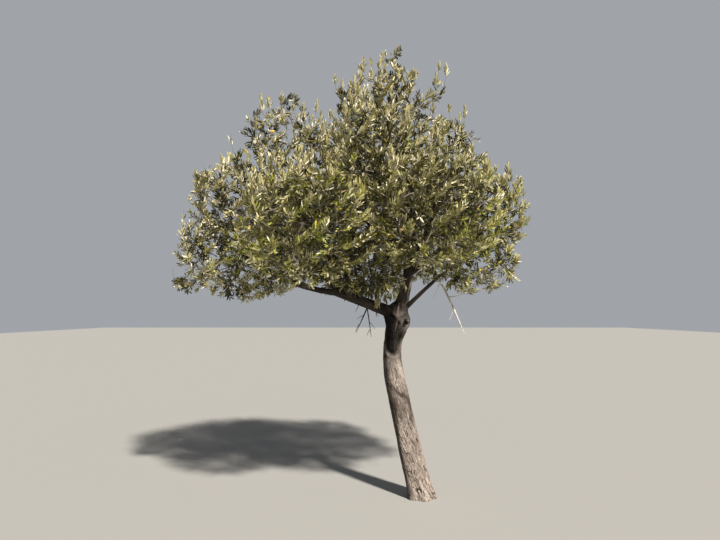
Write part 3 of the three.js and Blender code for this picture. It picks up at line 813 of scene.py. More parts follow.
@dataclass
class Trunk:
    """The leaning trunk, with its flare, fluted sides, long flakes, burl, hollow and knot."""

    skeleton: Skeleton
    rows: int = 340
    sides: int = 192
    # how far the foot flares and over what height, and how much the bark's pattern turns with each millimetre
    flare: float = 28.0
    flare_height: float = 110.0
    twist: float = 0.0019
    # its bark, with the radius on which that is laid out, and how far the trunk's slow lumps stand out
    seed: int = 11
    fissure_gap: float = 11.5
    fissure_length: float = 72.0
    fissure_deep: float = 5.0
    bark_radius: float = 92.0
    lumps_out: float = 4.5
    # the hollow under the fork, which leans to the right towards its foot and is painted near black with shade, and its
    # raised lip, which is painted pale with a highlight
    hollow_height: float = 1440.0
    hollow_tall: float = 200.0
    hollow_bearing: float = -2.13
    hollow_wide: float = 1.42
    hollow_lean: float = -0.003
    hollow_deep: float = 24.0
    lip_out: float = 9.0
    # the swelling where the left bough leaves, which is painted darker with shade, and a swelling half way up
    shoulder: Spot = Spot(1625, 75, math.pi, 0.75)
    shoulder_out: float = 26.0
    swell: Spot = Spot(1130, 170, -0.2, 1.0)
    swell_out: float = 13.0
    burl: Spot = Spot(1520, 82, -0.85, 0.42)
    burl_out: float = 27.0
    # the burl's pale face, whose pits are painted dark with shade
    burl_face: Spot = Spot(1545, 62, -1.05, 0.38)
    face_out: float = 9.0
    pits_deep: float = 9.0
    # painted shade under the burl and over the hollow, and a painted shadow below the hollow's lip
    shade_under_burl: Spot = Spot(1428, 50, -0.55, 0.36)
    shade_over_hollow: Spot = Spot(1665, 80, -2.4, 0.6)
    lip_shadow: Spot = Spot(1236, 15, -2.5, 0.55)
    pale_strips: tuple[Spot, ...] = (Spot(1520, 50, -1.64, 0.07), Spot(1685, 65, -1.66, 0.08))
    strips_out: float = 9.0
    # broad tones of the bark: a darker band half way up, painted light on the bark under the hollow, and painted shade
    # on the side away from the light
    dark_band: Spot = Spot(815, 180, -1.6, 2.5)
    painted_light_band: Spot = Spot(1165, 125, -1.2, 1.5)
    shaded_bearing: float = -3.1
    # the heights between which painted shade of the crown darkens the bark towards the boughs' dark colour
    painted_crown_shade: tuple[float, float] = (1560.0, 1680.0)
    # a dark line that winds down across the front: its height where it faces the picture, its fall and half its width,
    # how far the lumps shift it, and how far round the trunk it reaches
    dark_line: tuple[float, float, float] = (935, -73, 17)
    dark_line_shift: float = 26.0
    dark_line_reach: float = 1.1
    # the heights between which the top is rounded
    top_starts: float = 1672.0
    top_ends: float = 1750.0
    # the knot at the foot, an arched groove painted dark with shade round a raised eye, and the trunk's radius there
    knot_height: float = 78.0
    knot_bearing: float = -1.68
    knot_radius: float = 19.0
    groove_wide: float = 7.5
    groove_deep: float = 9.0
    eye_wide: float = 12.0
    eye_out: float = 5.0
    foot_radius: float = 110.0

    def build(self) -> None:
        """Makes the trunk's mesh in level rings and dresses it."""
        shares = np.linspace(0, 1, self.rows)
        centres = self.skeleton.paths["trunk"].at(shares)
        bearings = np.linspace(-math.pi, math.pi, self.sides, endpoint=False)
        height, bearing = np.meshgrid(centres[:, 2], bearings, indexing="ij")
        radius, marks = self._surface(height, bearing)
        points = np.stack(
            [centres[:, :1] + radius * np.cos(bearing), centres[:, 1:2] + radius * np.sin(bearing), height], axis=-1
        ).reshape(-1, 3)
        points, faces, marks = capped(points, self.rows, self.sides, marks)
        piece = mesh_object("trunk_bark", points, faces, [BARK.made()], marks=marks)
        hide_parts("trunk")

    def _surface(self, height: np.ndarray, bearing: np.ndarray) -> tuple[np.ndarray, dict[str, np.ndarray]]:
        """The trunk's radii and marks.

        Args:
            height: heights above the ground.
            bearing: angles round the trunk.

        Returns:
            The radii, and the numbers that its finish reads.
        """
        flutes = 0.05 * np.cos(3 * bearing + 1.1 + height / 800) + 0.035 * np.cos(5 * bearing - height / 600)
        toes = 0.65 + 0.35 * np.cos(5 * bearing + 0.6)
        base = trunk_profile(height) * (1 + flutes)
        base += self.flare * np.exp(-height / self.flare_height) * toes
        relief = BarkRelief(self.seed, self.fissure_gap, self.fissure_length, self.fissure_deep)
        raised, crevice, flake = relief.on(bearing + self.twist * height, height, self.bark_radius)
        lumps = relief.grain.layered(np.cos(bearing) * 2.2, np.sin(bearing) * 2.2, height / 130, 3)
        shaded = 1 - eased(np.abs(turn_between(bearing, self.shaded_bearing)), 0.5, 1.1)
        shoulder, swell, burl, face, under, over, lip_shadow, dark_band, painted_light_band = (
            spot.at(height, bearing)
            for spot in (self.shoulder, self.swell, self.burl, self.burl_face, self.shade_under_burl, self.shade_over_hollow,
                         self.lip_shadow, self.dark_band, self.painted_light_band)
        )
        strips = sum(strip.at(height, bearing) for strip in self.pale_strips)
        hollow, inner, lip = self._hollow(height, bearing)
        # the lip's painted highlight gives way to the painted shade on the side away from the light
        lip = lip * (1 - 0.8 * shaded)
        groove, eye = self._knot(height, bearing)
        pits = relief.grain.layered(np.cos(bearing) * 6.5, np.sin(bearing) * 6.5, height / 18 + 3, 2)
        pits = eased(pits, 0.02, 0.3) * face
        radius = base + raised * (1 - 0.7 * hollow) + self.lumps_out * lumps + self.swell_out * swell
        radius += self.shoulder_out * shoulder + self.burl_out * burl * (1 + 0.3 * lumps) + self.face_out * face
        radius += (
            self.lip_out * lip + self.strips_out * strips + self.eye_out * eye
            - self.hollow_deep * hollow - self.pits_deep * pits - self.groove_deep * groove
        )
        rounding = np.clip((height - self.top_starts) / (self.top_ends - self.top_starts), 0, 1)
        radius *= np.sqrt(1 - rounding**2)
        # dark paints shade: of the crown at the top, at the shoulder, under the burl and on the side away from the
        # light; the dark line and the darker band add to it
        dark = 0.9 * eased(height, *self.painted_crown_shade) + 0.6 * shoulder + 0.8 * under + 0.95 * shaded
        dark = dark + 0.8 * self._dark_line(height, bearing, lumps) + 0.95 * dark_band * (1 + 0.7 * lumps)
        # hollow paints near-black shade in the hollow, the burl's pits, the knot's groove, under the burl, over the
        # hollow and below its lip
        inside = hollow * (1 - 0.8 * strips) * (1 - 0.13 * inner) * (1 - 0.7 * face)
        inside = inside + 0.9 * pits + 0.75 * groove + 0.5 * under + 0.95 * over + 0.8 * lip_shadow
        # pale paints a highlight on the lip and light on the bark under the hollow, and brightens the pale strips, the
        # burl's face and the knot's eye
        pale = 0.8 * lip + 0.8 * strips + 0.9 * face + 0.7 * eye + 0.42 * painted_light_band * (1 + lumps)
        marks = {
            "crevice": crevice * (1 - 0.8 * groove) * (1 - 0.8 * pits),
            "flake": flake,
            "dark": np.clip(dark, 0, 1),
            "hollow": np.clip(inside, 0, 1),
            "pale": np.clip(pale, 0, 1) * (1 - pits) * (1 - 0.9 * under) * (1 - shaded),
        }
        return radius, marks

    def _hollow(self, height: np.ndarray, bearing: np.ndarray) -> tuple[np.ndarray, np.ndarray, np.ndarray]:
        """The hollow under the fork.

        Args:
            height: heights above the ground.
            bearing: angles round the trunk.

        Returns:
            How much of the hollow there is at each place, how much of its right half, and how much of its lip.
        """
        aside = turn_between(bearing, self.hollow_bearing + self.hollow_lean * (height - self.hollow_height))
        outward = np.hypot((height - self.hollow_height) / self.hollow_tall, aside / self.hollow_wide)
        lip = np.exp(-(((outward - 1.04) / 0.07) ** 2)) * eased(-height, -1540, -1420)
        return 1 - eased(outward, 0.84, 1.0), eased(aside, 0.1, 0.6), lip

    def _knot(self, height: np.ndarray, bearing: np.ndarray) -> tuple[np.ndarray, np.ndarray]:
        """The knot at the foot.

        Args:
            height: heights above the ground.
            bearing: angles round the trunk.

        Returns:
            How much of its groove there is at each place, and how much of its eye.
        """
        away = np.hypot(height - self.knot_height, turn_between(bearing, self.knot_bearing) * self.foot_radius)
        groove = np.exp(-(((away - self.knot_radius) / self.groove_wide) ** 2))
        arch = eased(height, self.knot_height - 22, self.knot_height + 4)
        return groove * arch, np.exp(-((away / self.eye_wide) ** 2))

    def _dark_line(self, height: np.ndarray, bearing: np.ndarray, lumps: np.ndarray) -> np.ndarray:
        """The dark line across the front.

        Args:
            height: heights above the ground.
            bearing: angles round the trunk.
            lumps: the trunk's slow lumps, which shift it.

        Returns:
            How much of it there is at each place.
        """
        level, fall, half = self.dark_line
        from_front = turn_between(bearing, -math.pi / 2)
        off_line = (height - level - fall * from_front - self.dark_line_shift * lumps) / half
        return np.exp(-(off_line**2) - (from_front / self.dark_line_reach) ** 4)


def capped(points: np.ndarray, rows: int, sides: int, marks: dict[str, np.ndarray]
           ) -> tuple[np.ndarray, np.ndarray, dict[str, np.ndarray]]:
    """Closes both ends of a grid of rings with faces to a middle point.

    Args:
        points: the rings' points, one ring after another.
        rows: how many rings there are.
        sides: how many points a ring has.
        marks: numbers at each point, by name.

    Returns:
        The points and marks with the two middles added, and all faces, four corners each.
    """
    middles = np.vstack([points[:sides].mean(0), points[-sides:].mean(0)])
    first, last = len(points), len(points) + 1
    side = np.arange(0, sides, 2)
    low = np.stack([np.full(side.shape, first), (side + 2) % sides, side + 1, side], axis=-1)
    top = side + (rows - 1) * sides
    high = np.stack([np.full(side.shape, last), top, top + 1, (side + 2) % sides + (rows - 1) * sides], axis=-1)
    faces = np.vstack([tube_faces(rows, sides), low, high])
    flat = {name: values.ravel() for name, values in marks.items()}
    return np.vstack([points, middles]), faces, {
        name: np.concatenate([values, [values[0], values[-1]]]) for name, values in flat.items()
    }


@dataclass
class Boughs:
    """Every live limb as its own rounded mesh, sunk in its parent and swollen where it leaves it."""

    skeleton: Skeleton
    # the most and the fewest sides of a limb
    finest: int = 44
    coarsest: int = 12
    # half of a limb's sides, to each millimetre of its radius
    half_sides: float = 0.42
    row_length: float = 8.0
    fewest_rows: int = 12
    # their bark, whose fissures are a little deep and deeper by a share of a limb's radius, and how far knots stand out
    first_seed: int = 40
    fissure_gap: float = 12.0
    fissure_length: float = 64.0
    fissure_deep: float = 0.4
    fissure_share: float = 0.055
    knots_out: float = 0.09
    # painted light on the side of the upright bough that faces the light, and the lengths along it between which that
    # fades
    lit_side: Place = (0.93, -0.37, 0.0)
    lit_ends: tuple[float, float] = (250.0, 420.0)
    # the lengths along the left bough between which the painted shade of the fork fades
    shade_ends: tuple[float, float] = (60.0, 330.0)

    def build(self) -> None:
        """Makes one mesh for each live limb."""
        finish = BOUGH_BARK.made()
        for number, name in enumerate(self.skeleton.limbs):
            if name != "dead_bough":
                self._limb(name, number, finish)

    def _limb(self, name: str, number: int, finish: bpy.types.Material) -> None:
        """Makes one limb.

        Args:
            name: the limb's name.
            number: its number, which seeds its bark.
            finish: its material.
        """
        path = self.skeleton.paths[name]
        limb = self.skeleton.limbs[name]
        thick, thin = limb.thick, limb.thin
        sides = int(np.clip(2 * round(thick * self.half_sides), self.coarsest, self.finest))
        rows = max(self.fewest_rows, round(path.length / self.row_length))
        shares = np.linspace(0, 1, rows)
        headings = path.heading(shares)
        firsts, seconds = carried_frames(headings)
        bearings = np.linspace(-math.pi, math.pi, sides, endpoint=False)
        along, bearing = np.meshgrid(shares * path.length, bearings, indexing="ij")
        depth = self.fissure_share * thick + self.fissure_deep
        relief = BarkRelief(self.first_seed + number, self.fissure_gap, self.fissure_length, depth)
        raised, crevice, flake = relief.on(bearing, along, (thick + thin) / 2)
        knots = relief.grain.layered(np.cos(bearing) * 1.4, np.sin(bearing) * 1.4, along / (thick * 2.2), 2)
        base = self.skeleton.radius(name, shares)[:, None]
        closing = np.sqrt(np.clip((1 - shares) * path.length / (0.6 * thin), 0.02, 1))[:, None]
        closing *= 0.6 + 0.4 * eased(shares * path.length, 0, self.skeleton.cover(name))[:, None]
        radius = (base * (1 + self.knots_out * knots) + raised) * closing
        outward = round_points(bearings, firsts, seconds)
        points = (path.at(shares)[:, None] + radius[..., None] * outward).reshape(-1, 3)
        lit = eased(outward @ self.lit_side, 0.7, 0.95) * (1 - eased(along, *self.lit_ends))
        # every bough's bark is dark, partly young bark and partly painted shade of the crown; hollow paints the fork's
        # shade on the left bough's root, and pale paints light on the upright bough's lit side
        marks = {
            "crevice": crevice,
            "flake": flake,
            "dark": np.ones_like(crevice),
            "hollow": 0.85 * (1 - eased(along, *self.shade_ends)) * (name == "left_bough"),
            "pale": 0.75 * lit * eased(flake, 0.3, 0.6) * (name == "central_bough"),
        }
        points, faces, marks = capped(points, rows, sides, marks)
        piece = mesh_object(f"{name}_bark", points, faces, [finish], marks=marks)
        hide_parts(name)


@dataclass
class BareWood:
    """The dead bough and the bare twigs under the left bough, with the finer twigs that stand on them."""

    skeleton: Skeleton
    seed: int = 5
    sides: int = 8
    row_length: float = 12.0
    fewest_rows: int = 6
    lumps_out: float = 0.16
    sway: float = 3.0
    dead_radii: tuple[float, float] = (12.0, 6.0)
    # the sticks that leave the dead bough: how far along it, towards where, the share of it from which their end is
    # measured, how far away from there they end, and their end radii
    dead_sticks: tuple[tuple[float, Place, float, Place, float, float], ...] = (
        (1.0, (16, -3, -45), 1.0, (52, -6, -118), 6.0, 1.6),
        (0.62, (60, -10, -12), 1.0, (104, 40, 274), 5.0, 2.0),
        (0.4, (-30, -10, -40), 0.4, (-75, -20, -150), 3.0, 1.3),
        (0.8, (-12, 0, -50), 0.8, (-45, -25, -105), 2.6, 1.2),
    )
    # how far along the left bough its third bare twig and its bare stub leave it, and where the stub ends
    third_share: float = 0.34
    stub_share: float = 0.57
    stub_tip: Place = (-580.0, -90.0, 1633.0)
    # how far each bare twig and the stub bow upwards, and their end radii
    bare_forms: tuple[tuple[float, float, float], ...] = ((0, 7.5, 2.2), (18, 6.0, 2.2), (0, 6.0, 2.2), (12, 4.5, 1.6))
    # the bare twig that each finer twig stands on, how far along it stands, and how far it reaches
    side_twigs: tuple[tuple[int, float, Place], ...] = (
        (0, 0.7, (-40, 12, -70)), (0, 0.4, (-62, -10, -38)), (1, 0.5, (48, -14, -60)), (1, 0.75, (-30, -10, -55)),
        (2, 0.6, (22, 14, -40)),
    )
    # the share of that reach at which a finer twig bends down, along each axis, and its end radii
    side_bend: Place = (0.7, 0.7, 0.3)
    side_radii: tuple[float, float] = (3.0, 1.2)

    def build(self) -> None:
        """Makes both pieces."""
        self._piece("dead_bough_wood", "dead_bough", self._dead_lines(), DEAD_WOOD)
        self._piece("bare_twigs_wood", "bare_twigs", self._bare_lines(), DARK_WOOD)

    def _dead_lines(self) -> list[tuple[Path, float, float]]:
        """The lines of the dead bough's piece.

        Returns:
            The bough and its sticks, each with its radii at both ends.
        """
        dead = self.skeleton.paths["dead_bough"]
        lines = [(dead, *self.dead_radii)]
        for share, towards, measured_from, away, thick, thin in self.dead_sticks:
            root = dead.at(share)
            lines.append((Path.arch(root, root + towards, dead.at(measured_from) + away), thick, thin))
        return lines

    def _bare_lines(self) -> list[tuple[Path, float, float]]:
        """The lines of the bare twigs' piece.

        Returns:
            The three bare twigs, the stub and the finer twigs, each with its radii at both ends.
        """
        bough = self.skeleton.paths["left_bough"]
        tips = np.array((*BARE_TIPS, self.stub_tip), float)
        start = bough.at(BARE_SHARE)
        roots = (start, start + (tips[0] - start) * BARE_FORK, bough.at(self.third_share), bough.at(self.stub_share))
        lines = []
        for root, tip, (bow, thick, thin) in zip(roots, tips, self.bare_forms):
            lines.append((Path.arch(root, (root + tip) / 2 + UP * bow, tip), thick, thin))
        for bearer, share, away in self.side_twigs:
            root = lines[bearer][0].at(share)
            bend = root + np.array(away) * self.side_bend
            lines.append((Path.arch(root, bend, root + np.array(away)), *self.side_radii))
        return lines

    def _piece(self, name: str, node: str, lines: list[tuple[Path, float, float]], finish: DeadWoodFinish) -> None:
        """Joins tapering sticks into one piece.

        Args:
            name: the piece's name.
            node: the solid that it stands for.
            lines: each stick's line and its radii at both ends.
            finish: its finish.
        """
        grain = Grain(self.seed)
        points, faces, count = [], [], 0
        bearings = np.linspace(0, 2 * math.pi, self.sides, endpoint=False)
        for path, thick, thin in lines:
            rows = max(self.fewest_rows, round(path.length / self.row_length))
            shares = np.linspace(0, 1, rows)
            firsts, seconds = carried_frames(path.heading(shares))
            rings = round_points(bearings, firsts, seconds)
            lumps = grain.at(rings[..., 0] * 1.3, rings[..., 1] * 1.3, shares[:, None] * path.length / 26)
            radius = (thick + (thin - thick) * shares)[:, None] * (1 + self.lumps_out * lumps)
            sway = self.sway * grain.at(shares * path.length / 45, thick, 0.5) * np.minimum(shares * 8, 1)
            centres = path.at(shares) + firsts * sway[:, None]
            stick = (centres[:, None] + radius[..., None] * rings).reshape(-1, 3)
            stick, its_faces, _ = capped(stick, rows, self.sides, {})
            points.append(stick)
            faces.append(its_faces + count)
            count += len(stick)
        piece = mesh_object(name, np.vstack(points), np.vstack(faces), [finish.made()])
        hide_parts(node)


# Foliage.


@dataclass(frozen=True)
class Habit:
    """How twigs of one order grow. A twig that would be shorter than the shortest is left out."""

    # buds at each of its corners, how far apart the corners are, and the turn of the buds from each to the next
    buds: int
    step: float
    turn: float
    shortest: float
    # how much of its parent's direction it keeps where it leaves, and how far it stays away from wood
    kept_heading: float
    clearance: float


class Order(Enum):
    """The orders of twigs in a mass: its stem, branches as in the solids, finer sprays, and shoots that leave it."""

    STEM = Habit(buds=5, step=110, turn=1.05, shortest=0, kept_heading=0.45, clearance=0)
    BRANCH = Habit(buds=3, step=110, turn=1.05, shortest=70, kept_heading=0.45, clearance=12)
    SPRAY = Habit(buds=2, step=55, turn=1.45, shortest=62, kept_heading=0.45, clearance=8)
    SHOOT = Habit(buds=0, step=50, turn=0, shortest=0, kept_heading=0.6, clearance=8)


@dataclass
class Twig:
    """One twig: its corners, the twig that it stands on, and how far along that it stands."""

    points: np.ndarray
    order: Order
    parent: int
    share: float
    tips: list[tuple[float, int]] = field(default_factory=list)

    def bearers(self, shares: np.ndarray) -> np.ndarray:
        """How many twig tips this twig carries beyond each share of its length."""
        return sum(((shares < place) * count for place, count in self.tips), np.ones(shares.shape))


@dataclass
class Mass:
    """One mass of foliage: the limb it grows on from, how far its twig tips turn up, and its lobes."""

    name: str
    limb: str
    lift: float
    middles: np.ndarray
    sizes: np.ndarray

    def depth(self, points: np.ndarray) -> np.ndarray:
        """How far points are from its middle, where 1 is the outline of the nearest lobe."""
        return np.linalg.norm((points[:, None] - self.middles) / self.sizes, axis=-1).min(axis=1)


class Crown:
    """All the masses and whose space is whose."""

    def __init__(self) -> None:
        """Reads the masses from their table."""
        self.masses = []
        for name, limb, lift, lobes in MASS_TABLE:
            table = np.array(lobes, float)
            self.masses.append(Mass(name, limb, lift, table[:, :3], table[:, 3:]))

    def own(self, mass: Mass, points: np.ndarray, overlap: float, reach: float | np.ndarray) -> np.ndarray:
        """Which points are in a mass's own space.

        Args:
            mass: the mass.
            points: places, one a row.
            overlap: how far into its neighbours it may go, in lobe sizes.
            reach: how far out it may go, where 1 is its outline, for all points or for each.

        Returns:
            One truth value for each point.
        """
        depth = mass.depth(points)
        fits = depth <= reach
        for other in self.masses:
            if other is not mass:
                fits &= other.depth(points) > depth - overlap
        return fits


def seen_share(places: np.ndarray, table: tuple[tuple[float, ...], ...] = CROWN_GAPS) -> np.ndarray:
    """The shares that patches of the photograph give to places, by where they are seen.

    Args:
        places: places, one a row.
        table: the patches, as x and z at the trunk's depth, how wide, how tall, and the share in their middle.

    Returns:
        The largest share for each place.
    """
    away = places - VIEWED_FROM
    seen = np.array(VIEWED_FROM) - away * (VIEWED_FROM[1] / away[:, 1:2])
    x, z = seen[:, 0], seen[:, 2]
    shares = [
        share * np.exp(-((((x - middle) / wide) ** 2 + ((z - level) / tall) ** 2) ** 2))
        for middle, level, wide, tall, share in table
    ]
    return np.max(shares, axis=0)


class Growth:
    """One mass of foliage as it grows."""

    # how far inside its bough's tip the stem starts, and how far above the lobe's middle it ends, in lobe sizes
    STEM_ROOT = 6.0
    STEM_REACH = 0.3
    # what a bent way costs next to a straight one, and how much a twig has to lead away from its bearer
    TURN_COST = 0.9
    OUTWARD = 0.25
    # the lobe's mean area to one branch, and the sprays to each branch
    DRAW_AREA = 8350.0
    SPRAYS_EACH = 15.0
    # how far out branches and sprays are drawn, which draws go to a standing lobe, how much they crowd to the outline,
    # and the number whose powers step their even sequence
    COARSE_REACH = 0.74
    FINE_REACH = 0.97
    COARSE_EVERY = 6
    FINE_EVERY = 9
    DRAW_SPREAD = 0.25
    SEQUENCE_BASE = 1.2207440846057596
    # how far a twig may go into the neighbours' space and out of its own, in lobe sizes
    OVERLAP = 0.10
    OUTLINE = 1.05
    # the tips that shoots stand on: how far out and how high in their lobe, and one in how many
    SHOOT_DEPTH = 0.80
    SHOOT_LEVEL = 0.2
    SHOOT_EVERY = 2
    # the shortest shoot and how much longer others are, and the height over which none stands
    SHOOT_LENGTHS = (70.0, 120.0)
    SHOOT_TOP = 4150.0
    # how strong a hanging place is where sprays hang, and the shortest one and how much longer others are
    HANG_SHARE = 0.4
    HANG_LENGTHS = (45.0, 75.0)
    # how much of their bearer's direction shoots and hanging sprays keep
    KEPT_LEAN = 0.35
    # the step of the even fractions that deal out lengths and gaps
    GOLDEN = 0.618
    # the turn of a twig's buds from those of the twig before it
    BUD_TURN = 2.4
    # the places along a twig where its room is looked at
    CHECKS = np.array([0.15, 0.3, 0.45, 0.6, 0.75, 0.9, 1.0])
    # the columns of the table of buds: place, outward direction, bearer's direction, number and share, and if used
    PLACE = slice(0, 3)
    NORMAL = slice(3, 6)
    HEADING = slice(6, 9)
    BEARER = 9
    SHARE = 10
    USED = 11

    def __init__(self, mass: Mass, crown: Crown, skeleton: Skeleton) -> None:
        """Starts a mass with no twigs.

        Args:
            mass: the mass.
            crown: the crown that it is in.
            skeleton: the trunk and limbs.
        """
        self.mass = mass
        self.crown = crown
        self.skeleton = skeleton
        self.twigs: list[Twig] = []
        self.buds = np.zeros((0, self.USED + 1))

    def grow(self) -> None:
        """Grows the stem, branches towards the first draws, sprays towards the draws after them, and then shoots."""
        wide, deep, tall = self.mass.sizes[0]
        path = self.skeleton.paths[self.mass.limb]
        heading = path.heading(1.0)
        top = self.mass.middles[0] + UP * self.STEM_REACH * tall
        self._add(path.at(1.0) - heading * self.STEM_ROOT, heading, top, Order.STEM, -1, 0.0)
        coarse = round((wide * deep + deep * tall + tall * wide) / 3 / self.DRAW_AREA)
        for k in range(coarse):
            self._reach_for(self._draw(k, self.COARSE_REACH), Order.BRANCH)
        places = [self._draw(k, self.FINE_REACH) for k in range(coarse, round(coarse * (1 + self.SPRAYS_EACH)))]
        missing = seen_share(np.array(places))
        for number, place in enumerate(places):
            if (number * self.GOLDEN) % 1 >= missing[number]:
                self._reach_for(place, Order.SPRAY)
        self._stand_shoots()
        self._hang_sprays()
        self._count_tips()

    def _stand_shoots(self) -> None:
        """Lets some of the highest sprays run on upwards, out of the outline."""
        tips = np.array([twig.points[-1] for twig in self.twigs])
        from_middles = (tips[:, None] - self.mass.middles) / self.mass.sizes
        nearest = np.linalg.norm(from_middles, axis=-1).argmin(axis=1)
        place = from_middles[np.arange(len(tips)), nearest]
        high = (np.linalg.norm(place, axis=1) > self.SHOOT_DEPTH) & (place[:, 2] > self.SHOOT_LEVEL)
        for count, number in enumerate(np.flatnonzero(high)[:: self.SHOOT_EVERY]):
            twig = self.twigs[number]
            heading = unit(twig.points[-1] - twig.points[-2])
            length = self.SHOOT_LENGTHS[0] + self.SHOOT_LENGTHS[1] * ((count * self.GOLDEN) % 1)
            end = twig.points[-1] + unit(UP + heading * self.KEPT_LEAN) * length
            others = [other.depth(end[None])[0] for other in self.crown.masses if other is not self.mass]
            wanted = (count * self.GOLDEN) % 1 >= seen_share(end[None])[0]
            if wanted and min(others) > 1.0 and end[2] < self.SHOOT_TOP:
                self._add(twig.points[-1], heading, end, Order.SHOOT, int(number), 1.0)

    def _hang_sprays(self) -> None:
        """Lets sprays over the fork run on downwards, out of the outline, clear of the boughs."""
        tips = np.array([twig.points[-1] for twig in self.twigs])
        low = (tips[:, 2] < self.mass.middles[0][2]) & (seen_share(tips, HANGING_PLACES) > self.HANG_SHARE)
        for count, number in enumerate(np.flatnonzero(low)):
            tip = self.twigs[number].points[-1]
            heading = unit(tip - self.twigs[number].points[-2])
            length = self.HANG_LENGTHS[0] + self.HANG_LENGTHS[1] * ((count * self.GOLDEN) % 1)
            end = tip + unit(heading * self.KEPT_LEAN - UP) * length
            if self.skeleton.clear(tip + (end - tip) * self.CHECKS[:, None], Order.SHOOT.value.clearance).all():
                self._add(tip, heading, end, Order.SHOOT, int(number), 1.0)

    def _draw(self, k: int, reach: float) -> np.ndarray:
        """The place that a draw asks for. The first, and then some of the rest, ask for the standing lobes.

        Args:
            k: the draw's number.
            reach: how far out of its lobe's middle it is at most, where 1 is the outline.

        Returns:
            The place.
        """
        shoots = len(self.mass.middles) - 1
        if k < shoots:
            return self.mass.middles[k + 1]
        every = self.COARSE_EVERY if reach == self.COARSE_REACH else self.FINE_EVERY
        lobe = 1 + (k // every) % shoots if shoots and k % every == 0 else 0
        a, b, c = ((0.5 + k / self.SEQUENCE_BASE**power) % 1 for power in (1, 2, 3))
        level, turn, out = 1 - 2 * a, 2 * math.pi * b, reach * c**self.DRAW_SPREAD
        flat = math.sqrt(1 - level * level)
        towards = np.array([flat * math.cos(turn), flat * math.sin(turn), level])
        return self.mass.middles[lobe] + self.mass.sizes[lobe] * out * towards

    def _reach_for(self, place: np.ndarray, order: Order) -> None:
        """Grows a twig to a place from the free bud that reaches it with the shortest and straightest way.

        Args:
            place: where the twig is to end.
            order: which order of twig it is.
        """
        if not self.crown.own(self.mass, place[None], self.OVERLAP, self.OUTLINE)[0]:
            return
        ways = place - self.buds[:, self.PLACE]
        lengths = np.linalg.norm(ways, axis=1)
        cost = lengths * (1 + self.TURN_COST * (1 - (ways * self.buds[:, self.HEADING]).sum(1) / lengths))
        inward = (ways * self.buds[:, self.NORMAL]).sum(1) < self.OUTWARD * lengths
        cost[inward | (lengths < order.value.shortest) | (self.buds[:, self.USED] > 0)] = np.inf
        best = int(np.argmin(cost))
        if not np.isfinite(cost[best]):
            return
        bud = self.buds[best]
        bearer, share = int(bud[self.BEARER]), float(bud[self.SHARE])
        if self._add(bud[self.PLACE], bud[self.HEADING], place, order, bearer, share):
            self.buds[best, self.USED] = 1

    def _add(self, start: np.ndarray, heading: np.ndarray, end: np.ndarray, order: Order, parent: int,
             share: float) -> bool:
        """Adds a twig with its buds.

        Args:
            start: where it leaves its parent.
            heading: its parent's direction there.
            end: its tip.
            order: which order of twig it is.
            parent: its parent's number, or -1.
            share: how far along its parent it stands.

        Returns:
            Whether there was room for it.
        """
        habit = order.value
        length = float(np.linalg.norm(end - start))
        straight = (end - start) / length
        leaving = unit(heading * habit.kept_heading + straight * (1 - habit.kept_heading))
        arriving = unit(straight + UP * self.mass.lift)
        corners = (start, start + leaving * length / 3, end - arriving * length / 3, end)
        if order in (Order.BRANCH, Order.SPRAY):
            checks = bezier(corners, self.CHECKS)
            fits = self.crown.own(self.mass, checks[1:], self.OVERLAP, self.OUTLINE).all()
            if not fits or not self.skeleton.clear(checks[2:], habit.clearance).all():
                return False
        pieces = max(2, round(length / habit.step))
        points = bezier(corners, np.linspace(0, 1, pieces + 1))
        number = len(self.twigs)
        self.twigs.append(Twig(points, order, parent, share))
        headings = unit(np.gradient(points, axis=0))
        firsts, seconds = carried_frames(headings)
        rows = []
        for level in range(1, pieces + 1):
            for side in range(habit.buds):
                turn = self.BUD_TURN * number + habit.turn * level + 2 * math.pi * side / habit.buds
                normal = math.cos(turn) * firsts[level] + math.sin(turn) * seconds[level]
                rows.append([*points[level], *normal, *headings[level], number, level / pieces, 0])
        self.buds = np.vstack([self.buds, *rows])
        return True

    def _count_tips(self) -> None:
        """Counts, from the last twig to the first, how many tips each twig carries."""
        for twig in reversed(self.twigs):
            if twig.parent >= 0:
                carried = 1 + sum(count for _, count in twig.tips)
                self.twigs[twig.parent].tips.append((twig.share, carried))


def bezier(corners: tuple[np.ndarray, ...], shares: np.ndarray) -> np.ndarray:
    """Points along a smooth curve.

    Args:
        corners: its start, the two points that it is drawn towards, and its end.
        shares: where along it, from 0 to 1.

    Returns:
        A point for each share.
    """
    t = shares[:, None]
    a, b, c, d = corners
    return (1 - t) ** 3 * a + 3 * (1 - t) ** 2 * t * b + 3 * (1 - t) * t**2 * c + t**3 * d


